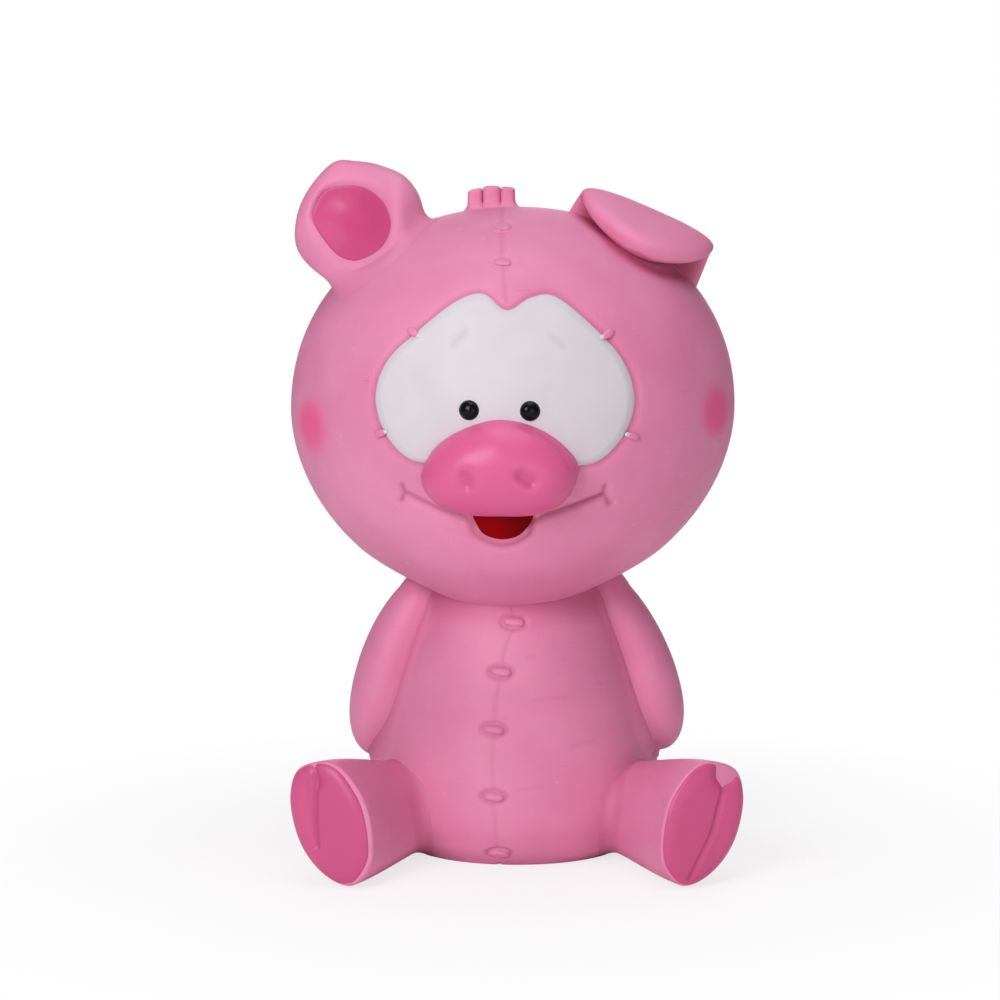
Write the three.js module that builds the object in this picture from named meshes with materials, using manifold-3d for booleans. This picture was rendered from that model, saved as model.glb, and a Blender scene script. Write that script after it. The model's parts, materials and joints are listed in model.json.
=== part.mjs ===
// A squeaky latex pig that sits upright: a hollow moulded skin with a reed squeaker plugged into its base.
// Millimetres, +Z up. The face looks along -Y. Left and right are the pig's own, so its left side is at +X.
import * as THREE from "three";
import { mergeVertices } from "three/addons/utils/BufferGeometryUtils.js";
import Module from "manifold-3d";

const wasm = await Module();
wasm.setup();

// Skin and fits
const GAP = 0.3; // clear space between neighbouring pieces
const SKIN = 2.4; // wall of the latex skin
const BASE_WALL = 3.4; // thicker wall under the body, which grips the squeaker

// Body, a pear given by its radius at five heights
const BODY_HEIGHT = 52.4; // floor to the neck seam
const BODY_DEPTH = 52; // front to back at the hips
const BASE_RADIUS = 21; // flat underside
const HEM_RADIUS = 26.4; // round lower edge
const HEM_HEIGHT = 4.4;
const HIP_RADIUS = 28.4;
const HIP_HEIGHT = 13;
const CHEST_RADIUS = 22.4;
const CHEST_HEIGHT = 36;
const NECK_RADIUS = 16.6;
const NECK_SHELF = 1.6; // width of the step inside the neck seam
const NECK_SHELF_DROP = 6; // depth of that step below the seam
const NECK_LAP = 3; // how far the neck sleeve reaches into the head

// Belly panel, an oval of skin that is pressed in
const BELLY_WIDTH = 28;
const BELLY_TALL = 38;
const BELLY_MIDDLE = 27; // height of its centre

// Moulded stitches
const STITCH_LENGTH = 5.2;
const STITCH_RADIUS = 0.9;
const BELLY_STITCHES = [[-3, 38.6], [-4.5, 27.6], [-4.5, 14.8]]; // sideways place and height
const BODY_STITCHES = [[-0.5, 48], [-3.5, 3]];
const CROWN_STITCHES = [[-1.2, 3.7], [-0.6, 10.3]]; // sideways place and depth below the crown

// Arms
const ARM_TOP = 56;
const ARM_LOW = 18;
const ARM_SHOULDER_RADIUS = 5.5;
const ARM_HAND_RADIUS = 6.6;
const ARM_DEPTH = 17; // front to back at the hand
const ARM_SEAT = 1.4; // distance of the arm's middle line from the body at its ends
const ARM_BOW = 2.8; // how much further out it bows in the middle
const ARM_FULLNESS = 4; // 2 gives pointed ends, more gives blunt ones
const ARM_SET_BACK = 1.5;
const ARM_HEAD_CLEARANCE = 1.8; // room to lift the arm under the head

// Legs and soles
const LEG_LENGTH = 41; // hip to sole
const LEG_SPREAD = 19; // hip from the middle
const LEG_YAW = 22.5; // degrees outward
const LEG_ROLL = 12; // degrees that the top of the foot leans outward
const LEG_ARM_CLEARANCE = 1.6; // room to lift the leg under the arm
const LEG_ROOT_RADIUS = 9.6;
const FOOT_HEIGHT = 23.6;
const FOOT_WIDTH = 18.4;
const FOOT_ROUND = 2.4; // rounded rim of the foot
const FOOT_FULLNESS = 2.5; // 2 is an oval foot, more is squarer
const FOOT_LIFT = 0.2; // foot above the floor
const SOLE_RIM = 0.5; // pale rim left round the sole
const SOLE_THICKNESS = 1.4;
const CLEFT_WIDTH = 1;
const CLEFT_DEPTH = 0.7;
const CLEFT_NOTCH_RADIUS = 1.5;
const CLEFT_SIDE = 2.6; // cleft from the middle of the sole, towards the outside

// Tail
const TAIL_HEIGHT = 15;
const TAIL_RADIUS = 1.7;
const TAIL_CURL_RADIUS = 3;
const TAIL_LENGTH = 8;
const TAIL_TURNS = 1.2;
const TAIL_OPENING = 0.3; // share of its length over which the curl opens

// Head, an egg whose crown is fuller than its chin
const HEAD_WIDTH = 88.4;
const HEAD_HEIGHT = 79.4;
const HEAD_DEPTH = 80;
const CROWN_FULLNESS = 2.3;
const CHIN_FULLNESS = 1.9;
const HEAD_SHIFT = -0.7; // the head sits a little to the pig's right
const HEAD_TURN = -3; // degrees, the face looks a little to the pig's right
const ROUND_BELOW = -0.85; // below this share of its half height the head is round in plan
const FLAT_ABOVE = -0.3; // above this share it has its full flattening

// Snout and mouth, measured from the middle of the head
const SNOUT_WIDTH = 29;
const SNOUT_TALL = 20.6;
const SNOUT_REACH = 11; // in front of the face
const SNOUT_BURY = 3; // its widest ring behind the face
const SNOUT_DROP = 8.5;
const SNOUT_SIDE = -0.5;
const NOSTRIL_RADIUS = 1.8;
const NOSTRIL_SPREAD = 5.6;
const NOSTRIL_DROP = 1.8;
const MOUTH_WIDTH = 11;
const MOUTH_TALL = 4.4;
const MOUTH_TOP = -19.2;
const MOUTH_DEPTH = 1.5;
const TONGUE_INSET = 0.4; // tongue below the skin round it

// White eye patch with two round lobes on top, half of it, from the notch down to the snout
const PATCH_THICKNESS = 0.7;
const PATCH_NOTCH = 20.4;
const PATCH_BOTTOM = -5;
const PATCH_MIDDLE = 0.2;
const PATCH_EDGE = [
  [3, 23],
  [7, 23.8],
  [12.4, 21.2],
  [18.6, 16.2],
  [23.4, 9.4],
  [24.8, 3.4],
  [23.6, -2.2],
  [20.4, -6.8],
  [16, -8.8],
];
const EYE_RADIUS = 2;
const EYE_BULGE = 1;
const EYE_SPREAD = 5.7;
const EYE_HEIGHT = 2.1;
const EYE_MIDDLE = -0.6;

// Upright right ear, with its dish
const EAR_WIDTH = 26.8;
const EAR_TALL = 24.6;
const EAR_THICKNESS = 9;
const EAR_ANGLE = 50; // degrees up from the side of the head
const EAR_STAND = 4.6; // its middle above the head
const DISH_WIDTH = 15.6;
const DISH_TALL = 14.4;
const DISH_DEPTH = 3;
const LINING_THICKNESS = 0.8;

// Folded left ear, a root that stands on the head and a flap that hangs from the fold
const FLAP_WIDTH = 28;
const FLAP_LENGTH = 17.5;
const FLAP_THICKNESS = 4.6;
const FLAP_FLAT = 1.2; // flat band round its edge
const FLAP_TILT = 62; // degrees forward of hanging straight down
const FOLD_ANGLE = 55; // degrees up from the side of the head
const FOLD_STAND = 2.7;
const FOLD_SLOPE = 23.4; // degrees that the fold falls outward
const FOLD_FORWARD = 4;
const ROOT_BACK = 2.6; // wall of the root behind the fold

// Tuft of three locks on the crown
const LOCK_RADIUS = 1.5;
const LOCK_LENGTH = 4.2;
const LOCK_SPACING = 2.45;
const LOCK_LEAN = 9; // degrees between neighbours
const TUFT_SIDE = -4.4;

// Squeaker: a flanged cup with a bead, a slotted plate, a reed under a bridge and a cap
const SQUEAKER_RADIUS = 9.4;
const SQUEAKER_HEIGHT = 12;
const SQUEAKER_WALL = 1.3;
const FLANGE_RADIUS = 11.4;
const FLANGE_THICKNESS = 1.2;
const FLANGE_RECESS = 0.5; // flange above the floor
const BEAD_REACH = 0.9; // bead beyond the cup, above the base wall
const BEAD_HEIGHT = 1.6;
const LEDGE_WIDTH = 1;
const LEDGE_HEIGHT = 4.4;
const AIR_HOLE_RADIUS = 2.2;
const PLATE_THICKNESS = 1.4;
const REED_LENGTH = 11;
const REED_WIDTH = 4;
const REED_THICKNESS = 0.4;
const REED_SLOT_CLEARANCE = 0.5;
const CLAMP_LENGTH = 3.2;
const CLAMP_WALL = 1.2;
const CLAMP_CLEARANCE = 0.5; // room over the reed's root while it flutters
const CAP_THICKNESS = 1.2;
const CAP_SPIGOT = 1.8;
const CAP_SPIGOT_WALL = 1;

// Counts that set how finely the round pieces are cut
const BODY_SIDES = 32;
const BODY_RINGS = 12;
const HEAD_SIDES = 32;
const HEAD_RINGS = 18;
const LIMB_SIDES = 18;
const ARM_RINGS = 12;
const BALL_SIDES = 20;
const BALL_RINGS = 12;
const SMALL_SIDES = 10;
const SMALL_RINGS = 6;
const PLUG_SIDES = 20;
const INNER_SIDES = 16;
const INNER_RINGS = 10;
const BAR_SIDES = 8; // stitches, locks of hair and the tail
const BAR_END_RINGS = 2;
const EDGE_STEPS = 3; // rounded rims
const CURVE_STEPS = 12;
const PATCH_STEPS = 30;
const TAIL_STEPS = 20;
const FAR = 100; // longer than any piece, for cuts that run right through
const MERGE_DISTANCE = 1e-4;

const LATEX_PINK = 0xdf8cae;
const DEEP_PINK = 0xd95f8e;
const LINING_PINK = 0xd14a80;
const PATCH_WHITE = 0xe6e1e6;
const MOUTH_RED = 0x86040f;
const EYE_BLACK = 0x0b0a0c;
const SQUEAKER_WHITE = 0xeeece6;
const REED_AMBER = 0xd9b98a;

// Roughness of the finishes
const MATT = 0.6;
const SATIN = 0.5;
const PLASTIC = 0.4;
const GLOSS = 0.15;

const radians = THREE.MathUtils.degToRad;
const { lerp, smoothstep } = THREE.MathUtils;

// Makes a solid that can be joined and cut from the corner points of a closed geometry.
function solid(geometry) {
  const bare = new THREE.BufferGeometry();
  bare.setAttribute("position", geometry.attributes.position);
  bare.setIndex(geometry.index);
  const merged = mergeVertices(bare, MERGE_DISTANCE);
  const corners = Array.from(merged.index.array);
  const kept = [];
  for (let i = 0; i < corners.length; i += 3) {
    const triangle = corners.slice(i, i + 3);
    if (new Set(triangle).size === 3) kept.push(...triangle);
  }
  const vertProperties = merged.attributes.position.array;
  return new wasm.Manifold(new wasm.Mesh({ numProp: 3, vertProperties, triVerts: Uint32Array.from(kept) }));
}

// Adds a solid to a group as a mesh with a name and a finish of its own.
function addPiece(group, name, shape, color, roughness = MATT) {
  const mesh = shape.getMesh();
  const geometry = new THREE.BufferGeometry();
  geometry.setAttribute("position", new THREE.BufferAttribute(Float32Array.from(mesh.vertProperties), 3));
  geometry.setIndex(new THREE.BufferAttribute(Uint32Array.from(mesh.triVerts), 1));
  geometry.computeVertexNormals();
  const piece = new THREE.Mesh(geometry, new THREE.MeshStandardMaterial({ color, roughness, metalness: 0 }));
  piece.name = name;
  group.add(piece);
}

// Turns a profile of [radius, height] pairs about the Z axis.
function turned(profile, sides) {
  const points = profile.map(([radius, height]) => new THREE.Vector2(radius, height));
  return new THREE.LatheGeometry(points, sides).rotateX(Math.PI / 2);
}

// Turns a profile that goes round a ring and closes on itself.
function turnedRing(profile, sides) {
  return turned([...profile, profile[0]], sides);
}

// A round bar or hole of one radius between two heights.
function post(radius, low, high, sides) {
  return turned([[0, low], [radius, low], [radius, high], [0, high]], sides);
}

// A ball stretched to half sizes along X, Y and Z.
function ball(halfX, halfY, halfZ, sides = BALL_SIDES, rings = BALL_RINGS) {
  return new THREE.SphereGeometry(1, sides, rings).scale(halfX, halfY, halfZ);
}

// Moves each corner point of a geometry by a function of it.
function reshaped(geometry, change) {
  const position = geometry.attributes.position;
  const point = new THREE.Vector3();
  for (let i = 0; i < position.count; i += 1) {
    point.fromBufferAttribute(position, i);
    change(point);
    position.setXYZ(i, point.x, point.y, point.z);
  }
  return geometry;
}

// A prism with an outline in X and Z that runs forward from the middle plane.
function forwardPrism(shape, curveSegments) {
  const options = { depth: FAR, bevelEnabled: false, curveSegments };
  return new THREE.ExtrudeGeometry(shape, options).rotateX(Math.PI / 2);
}

// Share of the head's half width left at a share t of its half height.
function headTaper(t) {
  const fullness = t > 0 ? CROWN_FULLNESS : CHIN_FULLNESS;
  return Math.max(1 - Math.abs(t) ** fullness, 0) ** (1 / fullness);
}

// How much the head is flattened front to back at a share t of its half height, with its skin out by grow.
function headFlattening(t, grow) {
  const flat = (HEAD_DEPTH / 2 + grow) / (HEAD_WIDTH / 2 + grow);
  return lerp(1, flat, smoothstep(t, ROUND_BELOW, FLAT_ABOVE));
}

// The head's outer skin moved out by grow, about the middle of the head.
function headForm(grow, sides = HEAD_SIDES, rings = HEAD_RINGS) {
  const profile = [];
  for (let i = 0; i <= rings; i += 1) {
    const angle = lerp(-Math.PI / 2, Math.PI / 2, i / rings);
    const power = 2 / (angle > 0 ? CROWN_FULLNESS : CHIN_FULLNESS);
    const t = Math.sign(angle) * Math.abs(Math.sin(angle)) ** power;
    const onAxis = i === 0 || i === rings;
    profile.push([onAxis ? 0 : (HEAD_WIDTH / 2 + grow) * headTaper(t), (HEAD_HEIGHT / 2 + grow) * t]);
  }
  return reshaped(turned(profile, sides), (point) => {
    point.y *= headFlattening(point.z / (HEAD_HEIGHT / 2 + grow), grow);
  });
}

// How far the head's skin lies in front of its middle at a place on the face.
function faceDepth(x, z, grow = 0) {
  const t = z / (HEAD_HEIGHT / 2 + grow);
  const ring = (HEAD_WIDTH / 2 + grow) * headTaper(t);
  return headFlattening(t, grow) * Math.sqrt(Math.max(ring ** 2 - x ** 2, 0));
}

// Distance from the middle of the head to its skin, in the middle plane, in degrees up from the side.
function crownDistance(angle) {
  const side = Math.cos(radians(angle)) / (HEAD_WIDTH / 2);
  const up = Math.sin(radians(angle)) / (HEAD_HEIGHT / 2);
  return (side ** CROWN_FULLNESS + up ** CROWN_FULLNESS) ** (-1 / CROWN_FULLNESS);
}

// How far the head's skin lies below its middle at a distance from the neck's axis.
function chinDrop(radius, grow = 0) {
  const share = radius / (HEAD_WIDTH / 2 + grow);
  return (HEAD_HEIGHT / 2 + grow) * (1 - share ** CHIN_FULLNESS) ** (1 / CHIN_FULLNESS);
}

const headMiddle = BODY_HEIGHT + chinDrop(NECK_RADIUS);
const neckBore = NECK_RADIUS - SKIN - NECK_SHELF;
const bodyTop = headMiddle - chinDrop(NECK_RADIUS, -SKIN / 2);

const toy = new THREE.Group();
const head = new THREE.Group();
head.position.set(HEAD_SHIFT, 0, headMiddle);
head.rotation.z = radians(HEAD_TURN);
head.updateMatrix();
toy.add(head);

// The head's hollow, moved in by a further gap where asked.
function headHollow(gap) {
  return headForm(-SKIN - gap, INNER_SIDES, INNER_RINGS);
}

// A head-shaped solid in the body's frame.
function headInBody(grow) {
  return solid(headForm(grow).applyMatrix4(head.matrix));
}

// Points of the pear's outline from the floor to the neck.
const bodyOutline = new THREE.SplineCurve([
  new THREE.Vector2(BASE_RADIUS, 0),
  new THREE.Vector2(HEM_RADIUS, HEM_HEIGHT),
  new THREE.Vector2(HIP_RADIUS, HIP_HEIGHT),
  new THREE.Vector2(CHEST_RADIUS, CHEST_HEIGHT),
  new THREE.Vector2(NECK_RADIUS, BODY_HEIGHT),
]).getPoints(BODY_RINGS);

// Radius of the body's outer skin at a height.
function bodyRadius(height) {
  const above = bodyOutline.findIndex((point) => point.y > height);
  if (above < 0) return NECK_RADIUS;
  if (above === 0) return BASE_RADIUS;
  const [low, high] = [bodyOutline[above - 1], bodyOutline[above]];
  return lerp(low.x, high.x, (height - low.y) / (high.y - low.y));
}

// How much the body is flattened front to back at a height: fully at the hips, not at all at the neck.
function bodyFlattening(height, grow = 0) {
  const flat = (BODY_DEPTH / 2 + grow) / (HIP_RADIUS + grow);
  return lerp(flat, 1, smoothstep(height, HIP_HEIGHT, BODY_HEIGHT));
}

// The body's outer skin moved out by grow, from a floor height up to a top height.
function bodyForm(grow, floor, top, sides = BODY_SIDES) {
  const profile = [[0, floor], [bodyRadius(floor) + grow, floor]];
  for (const point of bodyOutline) {
    if (point.y > floor + MERGE_DISTANCE && point.y < top) profile.push([point.x + grow, point.y]);
  }
  profile.push([NECK_RADIUS + grow, top], [0, top]);
  return reshaped(turned(profile, sides), (point) => {
    point.y *= bodyFlattening(point.z, grow);
  });
}

// How far the body's skin lies in front of its axis at a place on the belly.
function bellyDepth(x, height) {
  return bodyFlattening(height) * Math.sqrt(Math.max(bodyRadius(height) ** 2 - x ** 2, 0));
}

// The room that the body takes, with a gap, for cutting what lies against it.
const bodyRoom = solid(bodyForm(GAP, 0, bodyTop));

// Adds short raised bars along X to a skin, each at its place on a front whose depth a function gives.
function stitched(skin, places, depth) {
  return places.reduce((sewn, [x, z]) => {
    const straight = STITCH_LENGTH - 2 * STITCH_RADIUS;
    const bar = new THREE.CapsuleGeometry(STITCH_RADIUS, straight, BAR_END_RINGS, BAR_SIDES);
    return sewn.add(solid(bar.rotateZ(Math.PI / 2).translate(x, -depth(x, z), z)));
  }, skin);
}

// The belly panel's oval, larger by grow all round, as a cut from the middle plane forward.
function bellyCut(grow) {
  const oval = new THREE.Shape();
  oval.absellipse(0, BELLY_MIDDLE, BELLY_WIDTH / 2 + grow, BELLY_TALL / 2 + grow, 0, 2 * Math.PI);
  return solid(forwardPrism(oval, BODY_SIDES / 2));
}

// The neck's inner sleeve: a step on the inside of the body's wall and a tube from it up into the head.
function neckSleeve() {
  const outer = neckBore - GAP;
  const inner = outer - SKIN;
  const low = BODY_HEIGHT - NECK_SHELF_DROP;
  const top = headMiddle - chinDrop(neckBore, -SKIN) + NECK_LAP;
  const tube = turnedRing([[inner, low], [outer, low], [outer, top], [inner, top]], BODY_SIDES);
  const high = low + SKIN;
  const step = turnedRing([[inner, low], [HIP_RADIUS, low], [HIP_RADIUS, high], [inner, high]], BODY_SIDES);
  const shelf = solid(step.translate(HEAD_SHIFT, 0, 0)).intersect(solid(bodyForm(-SKIN / 2, 0, bodyTop)));
  return solid(tube.translate(HEAD_SHIFT, 0, 0)).add(shelf);
}

// The room that the head's shell takes, with a gap, so that the sleeve passes through it.
function headShellRoom() {
  const bore = post(neckBore - GAP, -FAR, 0, BODY_SIDES).applyMatrix4(head.matrix);
  const hollow = solid(headHollow(GAP).applyMatrix4(head.matrix));
  return headInBody(GAP).subtract(hollow).subtract(solid(bore));
}

// Stepped hole in the base for the squeaker's cup and flange.
function squeakerHole() {
  const bore = solid(post(SQUEAKER_RADIUS + GAP, -FAR, BASE_WALL + GAP, PLUG_SIDES));
  const seat = FLANGE_RECESS + FLANGE_THICKNESS + GAP;
  return bore.add(solid(post(FLANGE_RADIUS + GAP, -FAR, seat, PLUG_SIDES)));
}

const bodyHollow = solid(bodyForm(-SKIN, BASE_WALL, bodyTop + NECK_LAP, INNER_SIDES));
const bodyWall = solid(bodyForm(0, 0, bodyTop)).subtract(bodyHollow);

// Makes the skin of the body with its neck sleeve, its squeaker hole and the openings into the legs.
function addTorso(hipHoles) {
  let torso = bodyWall.add(neckSleeve()).subtract(headShellRoom()).subtract(squeakerHole());
  for (const hole of hipHoles) torso = torso.subtract(hole);
  torso = stitched(torso, BODY_STITCHES, bellyDepth).subtract(bellyCut(GAP)).subtract(headInBody(GAP));
  addPiece(toy, "torso_shell", torso, LATEX_PINK);
}

// Makes the soft front of the body with its row of moulded stitches.
function addBellyPanel() {
  const panel = stitched(bodyWall, BELLY_STITCHES, bellyDepth).intersect(bellyCut(0));
  addPiece(toy, "belly_panel", panel, LATEX_PINK);
}

// A plump arm that follows the body's side, larger by grow. Side is -1 for the right arm and 1 for the left.
function armForm(side, grow) {
  const profile = [];
  const halfLength = (ARM_TOP - ARM_LOW) / 2 + grow;
  for (let i = 0; i <= ARM_RINGS; i += 1) {
    const t = -Math.cos((Math.PI * i) / ARM_RINGS);
    const plump = lerp(ARM_HAND_RADIUS, ARM_SHOULDER_RADIUS, (t + 1) / 2) + grow;
    const onAxis = i === 0 || i === ARM_RINGS;
    const radius = onAxis ? 0 : plump * Math.sqrt(1 - Math.abs(t) ** ARM_FULLNESS);
    profile.push([radius, (ARM_TOP + ARM_LOW) / 2 + halfLength * t]);
  }
  return reshaped(turned(profile, LIMB_SIDES), (point) => {
    const along = THREE.MathUtils.clamp((point.z - ARM_LOW) / (ARM_TOP - ARM_LOW), 0, 1);
    const out = bodyRadius(point.z) + ARM_SEAT + ARM_BOW * Math.sin(Math.PI * along);
    point.x += side * out;
    point.y = (point.y * ARM_DEPTH) / (2 * ARM_HAND_RADIUS) + ARM_SET_BACK;
  });
}

function addArm(side, name) {
  const arm = solid(armForm(side, 0)).subtract(bodyRoom).subtract(headInBody(ARM_HEAD_CLEARANCE));
  addPiece(toy, name, arm, LATEX_PINK);
}

// Makes a round section about the Z axis squarer, with its widest points where they were.
function squared(geometry) {
  return reshaped(geometry, (point) => {
    const round = Math.hypot(point.x, point.y);
    if (round < MERGE_DISTANCE) return;
    const corner = Math.abs(point.x / round) ** FOOT_FULLNESS + Math.abs(point.y / round) ** FOOT_FULLNESS;
    const out = corner ** (-1 / FOOT_FULLNESS);
    point.x *= out;
    point.y *= out;
  });
}

// A stub leg along -Y from the hip to a flat sole with a round rim, larger by grow.
function legForm(grow) {
  const foot = FOOT_HEIGHT / 2;
  const end = LEG_LENGTH + grow;
  const rim = FOOT_ROUND + grow / 2;
  const profile = [[0, 0], [LEG_ROOT_RADIUS + grow, 0]];
  for (let i = 0; i <= EDGE_STEPS; i += 1) {
    const angle = (Math.PI / 2) * (i / EDGE_STEPS);
    profile.push([foot + grow - rim * (1 - Math.cos(angle)), end - rim * (1 - Math.sin(angle))]);
  }
  profile.push([0, end]);
  const narrow = (FOOT_WIDTH + 2 * grow) / (FOOT_HEIGHT + 2 * grow);
  return squared(turned(profile, LIMB_SIDES)).scale(narrow, 1, 1).rotateX(Math.PI / 2);
}

// The darker sole: an oval plate with a groove down it and a notch where the groove starts.
function soleForm(side) {
  const radius = FOOT_HEIGHT / 2 - SOLE_RIM;
  const narrow = (FOOT_WIDTH - 2 * SOLE_RIM) / (2 * radius);
  const edge = radius - SOLE_THICKNESS;
  const profile = [[0, 0], [edge, 0], [radius - SOLE_THICKNESS / 2, SOLE_THICKNESS / 2]];
  const plate = squared(turned([...profile, [edge, SOLE_THICKNESS], [0, SOLE_THICKNESS]], LIMB_SIDES));
  const start = LEG_LENGTH + GAP;
  const oval = solid(plate.scale(narrow, 1, 1).rotateX(Math.PI / 2).translate(0, -start, 0));
  const groove = new THREE.BoxGeometry(CLEFT_WIDTH, 2 * CLEFT_DEPTH, FAR);
  const front = start + SOLE_THICKNESS;
  const notch = post(CLEFT_NOTCH_RADIUS, -FAR, FAR, SMALL_SIDES).rotateX(Math.PI / 2);
  const cleft = solid(groove.translate(side * CLEFT_SIDE, -front, 0));
  const top = edge * Math.sqrt(1 - (CLEFT_SIDE / (edge * narrow)) ** 2);
  return oval.subtract(cleft).subtract(solid(notch.translate(side * CLEFT_SIDE, 0, top)));
}

// How far a rolled foot reaches below its axis, as a share of half its height.
function rolledReach() {
  const power = FOOT_FULLNESS / (FOOT_FULLNESS - 1);
  const across = (FOOT_WIDTH / FOOT_HEIGHT) * Math.abs(Math.sin(radians(LEG_ROLL)));
  const down = Math.cos(radians(LEG_ROLL));
  return (across ** power + down ** power) ** (1 / power);
}

// Makes one leg with its sole and gives back the opening between the leg and the body.
function addLeg(side, legName, soleName) {
  const leg = new THREE.Group();
  const reach = rolledReach();
  const levelUnderside = -Math.asin(((FOOT_HEIGHT / 2 - LEG_ROOT_RADIUS) * reach) / LEG_LENGTH);
  leg.position.set(side * LEG_SPREAD, 0, LEG_ROOT_RADIUS * reach + FOOT_LIFT);
  leg.rotation.set(levelUnderside, side * radians(LEG_ROLL), side * radians(LEG_YAW), "ZXY");
  leg.updateMatrix();
  toy.add(leg);
  const toLeg = leg.matrix.clone().invert();
  const body = solid(bodyForm(GAP, 0, bodyTop).applyMatrix4(toLeg));
  const arm = solid(armForm(side, LEG_ARM_CLEARANCE).applyMatrix4(toLeg));
  const hollow = legForm(-SKIN);
  const shell = solid(legForm(0)).subtract(solid(hollow)).subtract(body).subtract(arm);
  addPiece(leg, legName, shell, LATEX_PINK);
  addPiece(leg, soleName, soleForm(side), DEEP_PINK, SATIN);
  return solid(hollow.clone().applyMatrix4(leg.matrix));
}

// A tail that leaves the back of the body and winds once about its own axis.
function addTail() {
  const back = bellyDepth(0, TAIL_HEIGHT);
  const points = [];
  for (let i = 0; i <= CURVE_STEPS; i += 1) {
    const t = i / CURVE_STEPS;
    const angle = 2 * Math.PI * TAIL_TURNS * t;
    const curl = TAIL_CURL_RADIUS * smoothstep(t, 0, TAIL_OPENING);
    const along = back - SKIN + (TAIL_LENGTH + SKIN) * t;
    points.push(new THREE.Vector3(curl * Math.cos(angle), along, TAIL_HEIGHT + curl * Math.sin(angle)));
  }
  const section = new THREE.Shape().absarc(0, 0, TAIL_RADIUS, 0, 2 * Math.PI);
  const extrudePath = new THREE.CatmullRomCurve3(points);
  const options = { steps: TAIL_STEPS, extrudePath, curveSegments: BAR_SIDES / 2 };
  const tube = new THREE.ExtrudeGeometry(section, options);
  addPiece(toy, "tail", solid(tube).subtract(bodyRoom), LATEX_PINK);
}

// Half-moon of the mouth, straight along the top, smaller by inset.
function mouthCut(inset) {
  const half = MOUTH_WIDTH / 2 - inset;
  const moon = new THREE.Shape();
  moon.absellipse(0, MOUTH_TOP - inset, half, MOUTH_TALL - 2 * inset, Math.PI, 2 * Math.PI);
  moon.closePath();
  return solid(forwardPrism(moon, SMALL_SIDES));
}

// Makes the head's shell with the hole for the neck, the mouth's recess and the stitches on the crown.
function addHeadShell() {
  const bore = solid(post(neckBore, -FAR, 0, BODY_SIDES));
  const recess = mouthCut(0).subtract(solid(headForm(-MOUTH_DEPTH)));
  const shell = solid(headForm(0)).subtract(solid(headHollow(0))).subtract(bore).subtract(recess);
  const places = CROWN_STITCHES.map(([x, drop]) => [x, HEAD_HEIGHT / 2 - drop]);
  addPiece(head, "head_shell", stitched(shell, places, faceDepth), LATEX_PINK);
}

// The snout's outer form, larger by grow, widest a little behind the face.
function snoutForm(grow, sides = BALL_SIDES, rings = BALL_RINGS) {
  const front = faceDepth(SNOUT_SIDE, -SNOUT_DROP);
  const reach = SNOUT_REACH + SNOUT_BURY + grow;
  const form = ball(SNOUT_WIDTH / 2 + grow, reach, SNOUT_TALL / 2 + grow, sides, rings);
  return form.translate(SNOUT_SIDE, SNOUT_BURY - front, -SNOUT_DROP);
}

function addSnout() {
  const hollow = solid(snoutForm(-SKIN, INNER_SIDES, INNER_RINGS));
  let snout = solid(snoutForm(0)).subtract(hollow).subtract(solid(headForm(GAP)));
  const front = faceDepth(SNOUT_SIDE, -SNOUT_DROP) + SNOUT_REACH;
  for (const side of [-1, 1]) {
    const dent = ball(NOSTRIL_RADIUS, SKIN, NOSTRIL_RADIUS, SMALL_SIDES, SMALL_RINGS);
    const lean = SNOUT_REACH * (1 - Math.sqrt(1 - (NOSTRIL_SPREAD / (SNOUT_WIDTH / 2)) ** 2));
    dent.translate(SNOUT_SIDE + side * NOSTRIL_SPREAD, lean - front - SKIN / 2, -SNOUT_DROP - NOSTRIL_DROP);
    snout = snout.subtract(solid(dent));
  }
  addPiece(head, "snout", snout, DEEP_PINK, SATIN);
}

function addTongue() {
  const front = solid(headForm(-TONGUE_INSET));
  const tongue = mouthCut(GAP).intersect(front).subtract(solid(headForm(GAP - MOUTH_DEPTH)));
  addPiece(head, "tongue", tongue, MOUTH_RED, SATIN);
}

// Makes the eye patch as a thin layer on the face inside a two-lobed outline, with room for the snout.
function addEyePatch() {
  const edge = PATCH_EDGE.map(([x, z]) => new THREE.Vector2(x, z));
  const notch = new THREE.Vector2(0, PATCH_NOTCH);
  const bottom = new THREE.Vector2(0, PATCH_BOTTOM);
  const rightHalf = new THREE.SplineCurve([notch, ...edge, bottom]).getPoints(PATCH_STEPS);
  const leftHalf = rightHalf.slice(1, -1).map((point) => new THREE.Vector2(-point.x, point.y)).reverse();
  const prism = forwardPrism(new THREE.Shape([...rightHalf, ...leftHalf]), 1);
  const outline = solid(prism.translate(PATCH_MIDDLE, 0, 0));
  const layer = solid(headForm(GAP + PATCH_THICKNESS)).subtract(solid(headForm(GAP)));
  addPiece(head, "eye_patch", layer.intersect(outline).subtract(solid(snoutForm(GAP))), PATCH_WHITE, SATIN);
}

function addEye(side, name) {
  const x = EYE_MIDDLE + side * EYE_SPREAD;
  const under = GAP + PATCH_THICKNESS + GAP;
  const bead = ball(EYE_RADIUS, EYE_BULGE, EYE_RADIUS, INNER_SIDES, SMALL_RINGS);
  const seat = solid(headForm(under));
  const eye = solid(bead.translate(x, -faceDepth(x, EYE_HEIGHT, under), EYE_HEIGHT)).subtract(seat);
  addPiece(head, name, eye, EYE_BLACK, GLOSS);
}

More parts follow.
